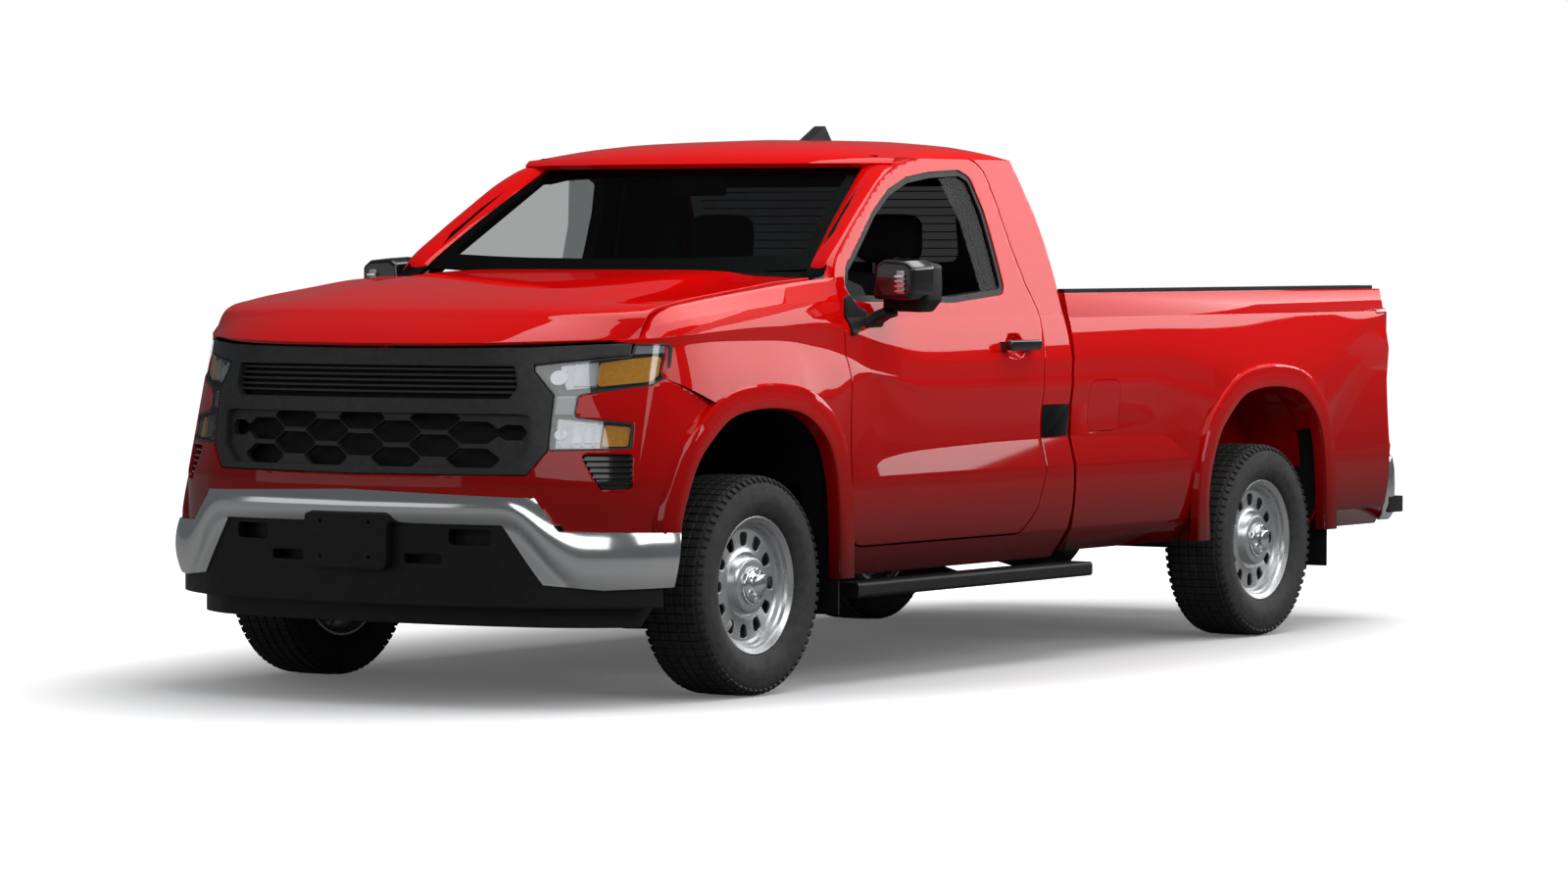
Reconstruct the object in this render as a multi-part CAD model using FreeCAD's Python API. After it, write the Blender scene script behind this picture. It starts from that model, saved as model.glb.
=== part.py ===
import FreeCAD, Part
import math
import os

os.makedirs("parts", exist_ok=True)

# Full-size regular-cab, long-bed pickup truck. Millimetres, +Z up, front towards -Y, left side at +X.
# Places along the truck are counted from the front axle. save() moves them to the frame's origin, which is
# on the ground under the middle of the overall length.

# Overall sizes
wheelbase = 3545.0
front_overhang = 970.0
rear_overhang = 1265.0
body_half_width = 1012.0
flare_half_width = 1031.0
mirror_half_width = 1196.0
track = 1740.0

# Heights of the body: ground to belt crease, and belt crease to the top of the doors
belt_height = 1100.0
greenhouse_height = 723.0
roof_crown = 50.0

# Lengths of the body
door_front_y = 541.0
door_length = 1300.0
cab_length = 1499.0
cab_to_bed_gap = 20.0
bed_length = 2498.0

# Clearances
cut_over = 40.0
panel_gap = 8.0
seat_gap = 0.3
pin_clearance = 0.3

# Walls
skin = 6.0
fender_wall = 6.0
door_wall = 60.0
ring_wall = 42.0
door_step = 22.0
glass_wall = 5.0
panel_wall = 22.0
floor_wall = 30.0
cab_floor_z = 560.0

# Corners of pressed outlines
door_corner = 60.0
window_corner = 45.0
lamp_corner = 14.0
arch_corner = 150.0

# Body side section from the rocker up: shares of height and of half width
side_section_shares = (
    (0.341, 0.920),
    (0.435, 0.976),
    (0.645, 1.000),
    (0.727, 0.974),
    (0.860, 0.981),
    (1.000, 0.992),
    (1.130, 0.973),
    (1.225, 0.954),
)
cab_top_share = 0.788
bed_top_shares = (
    (1.200, 0.968),
    (1.330, 0.948),
)

# Door and window outlines: shares of the door's length, and of height
door_outline_shares = (
    (0.000, 0.435),
    (0.000, 1.000),
    (-0.012, 1.160),
    (-0.012, 1.290),
    (0.026, 1.480),
    (0.140, 1.635),
    (0.246, 1.757),
    (0.370, 1.891),
    (0.478, 1.965),
    (0.603, 2.000),
    (0.866, 2.000),
    (0.916, 1.938),
    (0.932, 1.800),
    (0.951, 1.575),
    (0.980, 1.387),
    (1.020, 1.225),
    (1.000, 1.000),
    (1.000, 0.640),
    (0.960, 0.510),
    (0.890, 0.435),
)
window_outline_shares = (
    (0.048, 1.373),
    (0.084, 1.302),
    (0.581, 1.288),
    (0.868, 1.326),
    (0.867, 1.563),
    (0.861, 1.737),
    (0.835, 1.911),
    (0.785, 1.945),
    (0.624, 1.932),
    (0.500, 1.905),
    (0.388, 1.842),
    (0.278, 1.732),
    (0.162, 1.575),
    (0.078, 1.467),
)

# Rear edge of the cab: shares of the cab's length, and of height
cab_rear_shares = (
    (0.920, 2.000),
    (0.950, 1.900),
    (0.979, 1.727),
    (0.995, 1.550),
    (1.000, 1.386),
    (1.000, 0.500),
    (0.980, 0.341),
)

# Windscreen: places of its lower and upper edge on the centre line and at the corners
screen_base_y = 470.0
screen_base_z = 1414.0
screen_base_side_y = 575.0
screen_base_side_x = 815.0
screen_base_side_z = 1436.0
screen_top_y = 1015.0
screen_top_z = 1795.0
screen_top_side_y = 1122.0
screen_top_side_x = 690.0
screen_top_side_z = 1788.0

# Roof: shares of the roof's length from the screen back, of the crown, and of the drop at its edges
roof_front_y = 980.0
roof_rear_y = 1975.0
roof_half_width = 796.0
roof_stations_shares = (
    (0.00, -0.62, 1.45),
    (0.13, 0.25, 0.75),
    (0.29, 0.84, 0.22),
    (0.55, 1.00, 0.00),
    (0.85, 0.90, 0.08),
    (1.00, 0.62, 0.40),
)
roof_edge_drop = 78.0

# Hood: its edge on the fenders and its height on the centre line
hood_half_width = 915.0
hood_rear_y = 430.0
hood_front_y = -905.0
hood_rear_z = 1416.0
hood_rise = 236.0
hood_wall = 20.0
hood_corner_y = -556.0
hood_corner_x = 881.0
# Rows of the hood's surface: shares of its length from its rear edge at the centre and at the side, and of
# its fall at the centre and at the side
hood_row_shares = (
    (-0.050, -0.050, -0.013, 0.100),
    (0.060, 0.060, 0.006, 0.130),
    (0.153, 0.153, 0.034, 0.161),
    (0.334, 0.334, 0.106, 0.267),
    (0.532, 0.532, 0.237, 0.390),
    (0.660, 0.600, 0.345, 0.448),
    (0.760, 0.660, 0.440, 0.500),
    (0.846, 0.700, 0.545, 0.590),
    (0.885, 0.718, 0.640, 0.700),
    (0.940, 0.730, 0.790, 0.815),
    (1.000, 0.7386, 1.000, 0.919),
    (1.030, 0.745, 1.130, 1.000),
)
# Across the hood: shares of its half width, of the way from the centre's height to the side's over the flat
# part, and the same at the nose
hood_column_shares = (
    (0.00, 0.00, 0.00),
    (0.25, 0.01, 0.04),
    (0.50, 0.06, 0.17),
    (0.62, 0.22, 0.30),
    (0.72, 0.66, 0.45),
    (0.80, 0.88, 0.60),
    (0.90, 0.97, 0.80),
    (1.03, 1.03, 1.06),
)
hood_bow_power = 3.2
hood_open_pin_y = 470.0
hood_open_pin_z = 1372.0
hood_pin_x = 790.0
hood_pin_radius = 6.0
hood_pin_length = 30.0
hood_arm_wall = 12.0

# Front face in plan: shares of half width and of the face's depth, from the bumper's nose back
face_depth = 470.0
face_upper_shares = (
    (0.000, 0.140),
    (0.395, 0.215),
    (0.625, 0.395),
    (0.790, 0.640),
    (0.871, 0.835),
    (0.935, 0.990),
    (0.962, 1.140),
)
face_lower_shares = (
    (0.000, 0.043),
    (0.343, 0.117),
    (0.671, 0.285),
    (0.745, 0.370),
    (0.870, 0.560),
    (0.955, 0.760),
    (0.992, 0.940),
)
face_top_z = 1200.0
face_bumper_z = 740.0
face_low_z = 560.0
face_bottom_z = 250.0
fascia_wall = 26.0

# Outlines seen from the front: shares of half width, and of height
grille_outline_shares = (
    (0.000, 1.045),
    (0.600, 1.050),
    (0.870, 1.066),
    (0.870, 1.047),
    (0.625, 1.019),
    (0.627, 1.000),
    (0.688, 0.930),
    (0.686, 0.765),
    (0.628, 0.693),
    (0.000, 0.690),
)
lamp_outline_shares = (
    (0.625, 1.019),
    (0.870, 1.047),
    (0.945, 1.080),
    (0.945, 0.985),
    (0.925, 0.957),
    (0.757, 0.929),
    (0.752, 0.867),
    (0.900, 0.848),
    (0.905, 0.770),
    (0.686, 0.765),
    (0.688, 0.930),
    (0.627, 1.000),
)
vent_outline_shares = (
    (0.775, 0.757),
    (0.908, 0.757),
    (0.920, 0.652),
    (0.842, 0.650),
)
bumper_outline_shares = (
    (0.000, 0.645),
    (0.664, 0.627),
    (0.738, 0.530),
    (1.000, 0.524),
    (1.000, 0.360),
    (0.850, 0.354),
    (0.690, 0.370),
    (0.560, 0.545),
    (0.000, 0.548),
)
valance_outline_shares = (
    (0.000, 0.548),
    (0.560, 0.545),
    (0.690, 0.370),
    (0.850, 0.354),
    (0.880, 0.300),
    (0.000, 0.300),
)
air_dam_outline_shares = (
    (0.000, 0.292),
    (0.890, 0.300),
    (0.850, 0.234),
    (0.000, 0.240),
)

# Wheel arches: shares of the arch's half length and of its height above the wheel's centre
arch_half_length = 483.0
arch_height = 597.0
flare_width = 78.0
arch_base_z = 300.0
arch_shares = (
    (-0.97, 0.000),
    (-1.00, 0.387),
    (-0.83, 0.710),
    (-0.61, 0.860),
    (-0.40, 0.965),
    (-0.09, 1.000),
    (0.23, 1.000),
    (0.545, 0.960),
    (0.80, 0.830),
    (0.93, 0.667),
    (0.99, 0.363),
    (0.99, 0.000),
)
front_arch_y = -36.0
rear_arch_shift = -42.0

# Wheels
tyre_radius = 372.0
tyre_width = 255.0
rim_radius = 216.0
rim_flange = 17.0
rim_width = 205.0
rim_wall = 8.0
disc_face = 62.0
hub_radius = 72.0
hub_depth = 70.0
slot_count = 12
slot_inner = 118.0
slot_outer = 172.0
slot_half_inner = 15.0
slot_half_outer = 27.0
slot_edge = 10.0
drum_radius = 165.0
disc_radius = 112.0
drum_width = 60.0
stub_radius = 34.0

# Steering
kingpin_inset = 60.0

# Chassis
rail_x = 470.0
rail_width = 80.0
rail_height = 150.0
rail_wall = 8.0
rail_front_y = -748.0
rail_rear_y = 4430.0
rail_rise = 130.0
kick_start_y = 2750.0
kick_end_y = 3100.0

# Bed
bed_floor_z = 780.0
bed_inner_half = 905.0
bed_floor_wall = 18.0
bed_front_wall = 30.0
bed_skin = 14.0
wheelhouse_inner_x = 650.0
rail_cap_height = 14.0
rail_cap_width = 88.0
tailgate_wall = 62.0
tailgate_half_width = 768.0
tailgate_top = 1340.0
tailgate_bottom = 772.0
tailgate_pin_z = 806.0
tailgate_pin_radius = 12.0
bed_lower_z = 395.0

rear_y = wheelbase + rear_overhang
middle_y = (rear_y - front_overhang) / 2
cab_rear_y = door_front_y + cab_length
rail_z = cab_floor_z - floor_wall - seat_gap - rail_height / 2
bed_front_y = cab_rear_y + cab_to_bed_gap
bed_rear_y = bed_front_y + bed_length
wheel_x = track / 2
wheel_z = tyre_radius

corner_reach_share = 0.45
straight_turn_share = 0.02
mitre_join = 2

side_far_x = body_half_width + cut_over
side_near_x = cab_top_share * body_half_width - door_wall - ring_wall - cut_over - cut_over

# Door hinges: pins ahead of the door's front edge, behind the fender
hinge_ahead = 90.0
hinge_x = 975.0
hinge_heights_shares = (0.62, 0.96)
hinge_pin_radius = 6.0
hinge_eye_radius = 11.0
hinge_eye_height = 30.0
hinge_leaf_wall = 8.0
hinge_leaf_half = 13.0
# The arm's outline seen from above: shares of the pin's distance from the door, inwards and back
hinge_arm_shares = (
    (0.03, -0.07),
    (0.03, 0.07),
    (-0.95, 0.58),
    (-0.89, 0.98),
    (-0.20, 1.245),
    (-0.10, 1.300),
    (-0.15, 1.400),
    (-1.00, 1.100),
    (-1.09, 0.500),
)
rear_quarter_share = 0.75
hinge_y = door_front_y - hinge_ahead
pillar_inner_x = 826.0
pillar_outer_x = 868.0
pillar_front_y = 430.0

# Cab back and floor
rear_window_half = 640.0
rear_window_low = 1440.0
rear_window_high = 1740.0
firewall_y = 610.0
tunnel_half = 190.0
tunnel_height = 130.0
cab_back_wall = 30.0
cab_floor_half = 868.0

cowl_depth = 60.0
cowl_half = 740.0

hood_straight = 660.0
hood_mid_x = 500.0
hood_mid_y = -848.0
hood_nose_corner = 130.0
hood_nose_y = -700.0

# Fender: its edge under the hood, from the door forward, and how far its nose turns in at the lamp
fender_top_shares = (
    (0.000, 0.898, 1.400, 0.000),
    (0.300, 0.900, 1.378, 0.000),
    (0.620, 0.900, 1.340, 0.000),
    (0.840, 0.894, 1.305, 0.000),
    (0.900, 0.891, 1.290, 0.018),
    (0.935, 0.888, 1.271, 0.030),
    (0.965, 0.882, 1.235, 0.045),
    (1.020, 0.868, 1.160, 0.070),
)
fender_front_y = -540.0
fender_shoulder_shares = (0.965, 0.080)
fender_seam_front_z = 1085.0
fender_seam_rear_z = 985.0

face_near_y = -front_overhang - cut_over
face_far_y = 0.0

# Openings of the grille: shares of half width and of height, then the rows of long hexagons
slot_outline_shares = (
    (0.560, 1.025),
    (0.600, 0.913),
)
cell_rows = 4
cell_columns = 2
cell_width = 205.0
cell_flat_share = 0.54
cell_height = 52.0
cell_pitch_x = 290.0
cell_pitch_z = 44.0
cell_top_z = 943.0
grille_wall = 34.0
grille_set_back = 12.0

lamp_depth = 90.0

fascia_outline_shares = (
    (0.000, 0.980),
    (0.930, 0.980),
    (0.960, 0.987),
    (1.030, 0.987),
    (1.030, 0.300),
    (0.000, 0.300),
)
bumper_room_shares = (
    (1.000, 0.300),
    (0.000, 0.300),
)

bumper_wall = 60.0

valance_wall = 110.0
valance_set_back = 24.0
plate_half_width = 160.0
plate_top_z = 628.0
plate_low_z = 462.0
plate_wall = 50.0
hook_inner_x = 330.0
hook_outer_x = 455.0
hook_low_z = 500.0
hook_high_z = 570.0

# Fuel door on the left bed side
fuel_front_y = 2178.0
fuel_length = 228.0
fuel_low_z = 830.0
fuel_height = 186.0
fuel_corner = 50.0
fuel_gap = 5.0
fuel_wall = 3.0
fuel_pocket_depth = 84.0
fuel_hinge_ahead = 30.0
fuel_hinge_x = 976.0
fuel_pin_radius = 3.0
fuel_eye_height = 20.0
fuel_arm_shares = (
    (0.00, 0.13),
    (-0.96, 0.30),
    (-0.89, 1.11),
    (0.45, 1.55),
    (0.45, 1.75),
    (-1.07, 1.23),
    (-1.15, 0.15),
    (-0.13, -0.13),
)

rib_count = 9
rib_height = 12.0
rib_half_width = 28.0

wheelhouse_skirt = 120.0
bed_pad_half = 40.0
bed_pad_places = ((2160.0, 0.0), (2640.0, 0.0), (3300.0, 1.0), (4300.0, 1.0))

gate_recess_share = 0.86
gate_recess_depth = 14.0
gate_recess_low = 130.0
gate_recess_high = 190.0

lamp_low_z = 850.0
lamp_high_z = 1262.0
taillamp_depth = 24.0
taillamp_wrap = 60.0

rear_bumper_front_y = 4600.0
rear_bumper_top_z = 678.0
rear_bumper_low_z = 400.0
rear_bumper_wall = 40.0
rear_bumper_sweep = 110.0
rear_bumper_half = 985.0
step_wall = 24.0
plate_recess_half = 330.0
plate_recess_low = 470.0
tow_hole_radius = 12.7
tow_hole_y = 4690.0

# Tyre section: shares of the section's height above the rim and of its half width
tyre_section_shares = (
    (0.000, 0.735),
    (0.125, 0.735),
    (0.32, 0.98),
    (0.52, 1.00),
    (0.80, 0.93),
    (0.93, 0.82),
    (1.00, 0.66),
    (1.00, 0.00),
)
rim_groove_share = 0.86
wheel_sides = 24

cap_depth = 62.0
cap_rim_share = 0.45
cap_face_share = 0.62
cap_lobes = 6
cap_dent_radius = 20.0
cap_dent_shares = (
    (1.0, -1.0),
    (1.0, 1.0),
    (-0.3, 0.8),
    (-1.0, 0.0),
    (-0.3, -0.8),
)

knuckle_half = 46.0
knuckle_rise = 130.0
knuckle_drop = 120.0
kingpin_radius = 9.0
kingpin_grip = 30.0
arm_wall = 34.0
arm_half_outer = 30.0
arm_half_inner = 120.0
steer_arm_length = 150.0
kingpin_x = wheel_x - kingpin_inset

axle_tube_radius = 42.0
diff_radius = 150.0
diff_half_width = 120.0
spring_x = 560.0
spring_half_width = 34.0
spring_pad_height = 70.0
spring_front_y = 2900.0
spring_rear_y = 4240.0
spring_wall = 36.0
spring_arch = 120.0

# Crossmembers: place, height of the middle and depth
cross_places = (
    (-640.0, 454.7, 90.0),
    (0.0, 404.0, 31.0),
    (1130.0, 417.7, 44.0),
    (2400.0, 495.0, 50.0),
    (3160.0, 584.7, 90.0),
    (4380.0, 584.7, 90.0),
)
cross_half_width = 45.0

engine_half = 290.0
engine_front_y = -420.0
engine_rear_y = 380.0
engine_low_z = 420.0
engine_high_z = 1080.0
gearbox_half = 150.0
gearbox_rear_y = 1350.0
gearbox_high_z = 650.0
gearbox_low_z = 440.0
radiator_half = 400.0
radiator_y = -690.0
radiator_wall = 50.0
radiator_low_z = 500.0
radiator_high_z = 1080.0
shaft_radius = 36.0
shaft_z = 480.0

tank_inner_x = 90.0
tank_front_y = 1560.0
tank_rear_y = 2340.0
tank_low_z = 330.0
tank_high_z = 520.0
pipe_x = -260.0
pipe_radius = 28.0
pipe_z = 345.0
muffler_front_y = 2450.0
muffler_length = 560.0
muffler_half = 110.0
muffler_height = 150.0
spare_y = 3980.0
spare_radius = 345.0
spare_wall = 200.0
spare_low_z = 520.0
spare_post_radius = 20.0
step_inner_x = 880.0
step_outer_x = 1005.0
step_low_z = 300.0
step_high_z = 352.0
step_front_y = 590.0
step_rear_y = 2190.0
step_bracket_half = 30.0
step_bracket_places = (700.0, 1380.0, 2080.0)

liner_inner_x = 560.0
liner_wall = 5.0
flap_wall = 8.0
flap_inner_x = 860.0
flap_outer_x = 1010.0
front_flap_y = 452.0
front_flap_low_z = 250.0
front_flap_high_z = 585.0
rear_flap_y = 4012.0

# Cabin
dash_shares = (
    (0.00, 0.92),
    (0.35, 1.00),
    (0.85, 0.92),
    (1.00, 0.75),
    (0.80, 0.45),
    (0.30, 0.30),
    (0.00, 0.30),
)
dash_front_y = 612.0
dash_depth = 330.0
dash_height = 1420.0
dash_low_z = 800.0
dash_half = 862.0
seat_half = 640.0
seat_front_y = 1190.0
seat_rear_y = 1930.0
seat_top_z = 960.0
seat_back_z = 1440.0
seat_back_wall = 150.0
seat_lean = 120.0
cushion_depth = 190.0
head_half = 135.0
head_x = 400.0
head_low_z = 1445.0
head_high_z = 1630.0
head_wall = 90.0
wheel_ring_radius = 188.0
wheel_grip_radius = 15.0
wheel_place_x = 400.0
wheel_place_y = 1030.0
wheel_place_z = 1235.0
wheel_lean_share = 0.42
column_radius = 24.0
column_length = 190.0

# Door mirror and handle
mirror_inner_x = 1012.0
mirror_front_y = 640.0
mirror_rear_y = 800.0
mirror_low_z = 1277.0
mirror_high_z = 1473.0
mirror_corner = 34.0
mirror_foot_y = 590.0
mirror_foot_length = 110.0
mirror_foot_z = 1195.0
mirror_arm_wall = 60.0
handle_front_y = 1545.0
handle_length = 200.0
handle_z = 1155.0
handle_height = 34.0
handle_wall = 16.0
handle_stand = 24.0

antenna_y = 1780.0
antenna_length = 170.0
antenna_height = 52.0
antenna_half = 24.0


def vec(x, y, z):
    return FreeCAD.Vector(x, y, z)


def height(share):
    """Height above the ground: 0 to 1 up to the belt crease, 1 to 2 on to the top of the doors."""
    if share <= 1:
        return share * belt_height
    return belt_height + (share - 1) * greenhouse_height


def on_plane(axis, at, u, v):
    if axis == "x":
        return vec(at, u, v)
    if axis == "y":
        return vec(u, at, v)
    return vec(u, v, at)


def rounded_corner(before, corner, after, radius):
    """The arc that rounds one corner, as its three points, or the corner itself where the turn is slight."""
    back = (before - corner)
    ahead = (after - corner)
    turn = math.pi - back.getAngle(ahead)
    if turn < straight_turn_share:
        return (corner,)
    half_turn = math.tan(turn / 2)
    reach = min(radius * half_turn, corner_reach_share * back.Length, corner_reach_share * ahead.Length)
    start = corner + vec(*back).normalize() * reach
    end = corner + vec(*ahead).normalize() * reach
    inward = ((start + end) / 2 - corner).normalize()
    depth = reach / half_turn * (1 / math.cos(turn / 2) - 1)
    return (start, corner + inward * depth, end)


def outline(axis, at, points, radius=0):
    """A closed wire through the points, in the plane across one axis, with its corners rounded."""
    places = [on_plane(axis, at, u, v) for u, v in points]
    if radius == 0:
        return Part.makePolygon(places + places[:1])
    corners = []
    for index, corner in enumerate(places):
        after = places[(index + 1) % len(places)]
        corners.append(rounded_corner(places[index - 1], corner, after, radius))
    edges = []
    for index, corner in enumerate(corners):
        if len(corner) > 1:
            edges.append(Part.Arc(*corner).toShape())
        following = corners[(index + 1) % len(corners)]
        edges.append(Part.makeLine(corner[-1], following[0]))
    return Part.Wire(edges)


def prism(axis, points, low, high, radius=0, grow=0):
    """An outline drawn across one axis and drawn out along it, grown all round by an offset."""
    face = Part.Face(outline(axis, low, points, radius))
    if grow:
        face = face.makeOffset2D(grow, mitre_join)
    return face.extrude(on_plane(axis, high - low, 0, 0))


def box(x_low, x_high, y_low, y_high, z_low, z_high):
    return Part.makeBox(x_high - x_low, y_high - y_low, z_high - z_low, vec(x_low, y_low, z_low))


def rod(axis, radius, low, high, u, v):
    """A round bar along one axis, through a point of the plane across it."""
    return Part.makeCylinder(radius, high - low, on_plane(axis, low, u, v), on_plane(axis, 1, 0, 0))


def union(shapes):
    return shapes[0].multiFuse(shapes[1:])


def main_solid(shape):
    """The largest solid of a shape, without the slivers a cut leaves beside it."""
    return max(shape.Solids, key=lambda solid: abs(solid.Volume))


def mirrored(shape):
    return shape.mirror(vec(0, 0, 0), vec(1, 0, 0))


def both(shape):
    return Part.makeCompound([shape, mirrored(shape)])


def loft(wires, ruled=True):
    return Part.makeLoft(wires, True, ruled)


def save(node, shape):
    """Writes one node, moved so that the middle of the overall length is over the origin."""
    placed = shape.copy()
    placed.translate(vec(0, -middle_y, 0))
    solids = placed.Solids
    for solid in solids:
        if solid.Volume < 0:
            solid.reverse()
    placed = solids[0] if len(solids) == 1 else Part.makeCompound(solids)
    placed.exportStep("parts/" + node + ".step")
    print(node, len(solids), round(placed.Volume / 1e6, 2), placed.isValid())


def side_points(inset, top):
    """The body side's section as points of x and z, moved inwards, with the top of a cab or a bed."""
    points = [(share * body_half_width - inset, height(z)) for z, share in side_section_shares[:6]]
    if top == "bed":
        points += [(share * body_half_width - inset, height(z)) for z, share in bed_top_shares]
    else:
        points += [(share * body_half_width - inset, height(z)) for z, share in side_section_shares[6:]]
        points.append((cab_top_share * body_half_width - inset, height(2)))
    return points


def side_slab(outer_inset, inner_inset, top, y_low, y_high):
    """A slab that follows the left body side between two depths under its surface."""
    outer = side_points(outer_inset, top)
    inner = side_points(inner_inset, top)
    return prism("y", outer + inner[::-1], y_low, y_high)


def along_door(outline_shares):
    return [(door_front_y + y * door_length, height(z)) for y, z in outline_shares]


door_points = along_door(door_outline_shares)
window_points = along_door(window_outline_shares)


def door_cutter(grow):
    return prism("x", door_points, side_near_x, side_far_x, door_corner, grow)


def window_cutter(grow):
    return prism("x", window_points, side_near_x, side_far_x, window_corner, grow)


def door():
    """The left door: a thin outer panel to the shut lines, and the thick inner door a step inside them."""
    y_low = door_front_y - door_step - cut_over
    y_high = door_front_y + door_length + door_step + cut_over
    outer = side_slab(0, skin, "cab", y_low, y_high).common(door_cutter(0))
    inner = side_slab(skin / 2, door_wall, "cab", y_low, y_high).common(door_cutter(-door_step))
    panel = union([outer, inner]).cut(window_cutter(0))
    arms = []
    for share in hinge_heights_shares:
        z = height(share)
        low = z - hinge_eye_height / 2
        high = z + hinge_eye_height / 2
        arm = prism("z", [(hinge_x + x * hinge_ahead, hinge_y + y * hinge_ahead) for x,
                          y in hinge_arm_shares],
                    low, high)
        eye = rod("z", hinge_eye_radius, low, high, hinge_x, hinge_y)
        bore = rod("z", hinge_pin_radius + pin_clearance, low - cut_over, high + cut_over, hinge_x, hinge_y)
        arms.append(union([arm, eye]).cut(bore))
    return union([panel] + arms)


def door_glass():
    y_low = door_front_y
    y_high = door_front_y + door_length
    inset = door_wall / 2
    slab = side_slab(inset, inset + glass_wall, "cab", y_low, y_high)
    return slab.common(window_cutter(-seat_gap))


def cab_rear_line():
    return [(door_front_y + y * cab_length, height(z)) for y, z in cab_rear_shares]


def front_door_line(z):
    """Where the door's leading edge is at one height, above the belt."""
    line = door_points[3:10]
    for (y_low, z_low), (y_high, z_high) in zip(line, line[1:]):
        if z <= z_high:
            return y_low + (y_high - y_low) * (z - z_low) / (z_high - z_low)
    return line[-1][0]


def side_x(z):
    """The half width of the cab's side at one height, between the window sill and the roof."""
    low_share = side_section_shares[7][1]
    rise = (z - height(side_section_shares[7][0])) / (height(2) - height(side_section_shares[7][0]))
    return (low_share + (cab_top_share - low_share) * rise) * body_half_width


def a_pillar():
    """The windscreen pillar: a leaning bar from the cowl to the roof, between the glass and the door."""
    base_z = screen_base_side_z - cut_over
    levels = [base_z] + [z for y,
                         z in door_points[4:9] if base_z < z < screen_top_side_z] + [screen_top_side_z]
    wires = []
    for z in levels:
        share = (z - screen_base_side_z) / (screen_top_side_z - screen_base_side_z)
        glass_x = screen_base_side_x + share * (screen_top_side_x - screen_base_side_x)
        glass_y = screen_base_side_y + share * (screen_top_side_y - screen_base_side_y)
        outer_x = side_x(z) - skin
        door_y = front_door_line(z) - panel_gap - seat_gap
        points = (
            (outer_x, door_y),
            (outer_x - skin, (door_y + glass_y) / 2 - door_step),
            (glass_x + seat_gap, glass_y - door_step / 2),
            (glass_x + seat_gap, glass_y + door_step / 2),
            (glass_x - door_step, glass_y + door_step),
            (glass_x - door_step, max(door_y, glass_y) + door_wall),
            (outer_x - door_wall - panel_gap / 2, max(door_y, glass_y) + door_wall),
            (outer_x - door_wall - panel_gap / 2, door_y),
        )
        wires.append(outline("z", z, points))
    return loft(wires)


def roof_rail():
    """The rail over the door, inside the door's frame and up to the roof."""
    outer_x = side_x(height(2)) - door_wall - panel_gap
    low = height(2) - ring_wall
    points = (
        (outer_x + skin, low),
        (outer_x, height(2) + panel_gap - seat_gap),
        (outer_x - ring_wall, height(2) + panel_gap - seat_gap),
        (outer_x - ring_wall, low),
    )
    return prism("y", points, screen_top_side_y + door_step, cab_rear_line()[0][0])


def cab_side(roof_panel):
    """The left cab side: rocker, rear quarter and roof rail round the doorway, with a seal flange inside."""
    rear = cab_rear_line()
    middle = door_front_y + door_length * rear_quarter_share
    front_y = door_front_y - panel_gap
    knee = height(side_section_shares[1][0]) + cut_over
    body = prism("x", rear + [(front_y, rear[-1][1]), (front_y, knee), (middle, knee), (middle, height(2))],
                 side_near_x, side_far_x)
    y_high = cab_rear_y + cut_over
    outer = side_slab(0, door_wall + panel_gap + skin, "cab", front_y, y_high).common(body)
    outer = outer.cut(door_cutter(panel_gap))
    flange_front = door_front_y + door_step + ring_wall
    ring = side_slab(door_wall + panel_gap, door_wall + panel_gap + ring_wall, "cab", flange_front, y_high)
    ring = ring.common(union([door_cutter(0), body])).cut(door_cutter(-door_step - ring_wall))
    pillar_room = box(0, side_far_x, 0, screen_top_side_y + door_wall, screen_base_side_z,
                      height(2) + ring_wall)
    ring = ring.cut(pillar_room)
    foot_x = side_section_shares[7][1] * body_half_width - door_wall - panel_gap
    pillar_rear = flange_front + ring_wall
    hinge_pillar = prism(
        "z",
        (
            (pillar_inner_x, pillar_front_y),
            (pillar_outer_x, pillar_front_y),
            (pillar_outer_x, flange_front),
            (foot_x, flange_front),
            (foot_x, pillar_rear),
            (pillar_inner_x, pillar_rear),
        ),
        height(side_section_shares[1][0]),
        height(side_section_shares[7][0]),
    )
    pieces = [outer, ring, hinge_pillar, a_pillar(), roof_rail()]
    for share in hinge_heights_shares:
        z = height(share)
        half = hinge_eye_height / 2 + seat_gap
        for low, high in ((z - half - hinge_leaf_wall, z - half), (z + half, z + half + hinge_leaf_wall)):
            pieces.append(box(pillar_outer_x - skin, hinge_x + hinge_leaf_half, hinge_y - hinge_leaf_half,
                              hinge_y + hinge_leaf_half, low, high))
        pieces.append(rod("z", hinge_pin_radius, z - half - hinge_leaf_wall / 2,
                          z + half + hinge_leaf_wall / 2,
                          hinge_x, hinge_y))
    return main_solid(union(pieces).cut(roof_panel))


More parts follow.
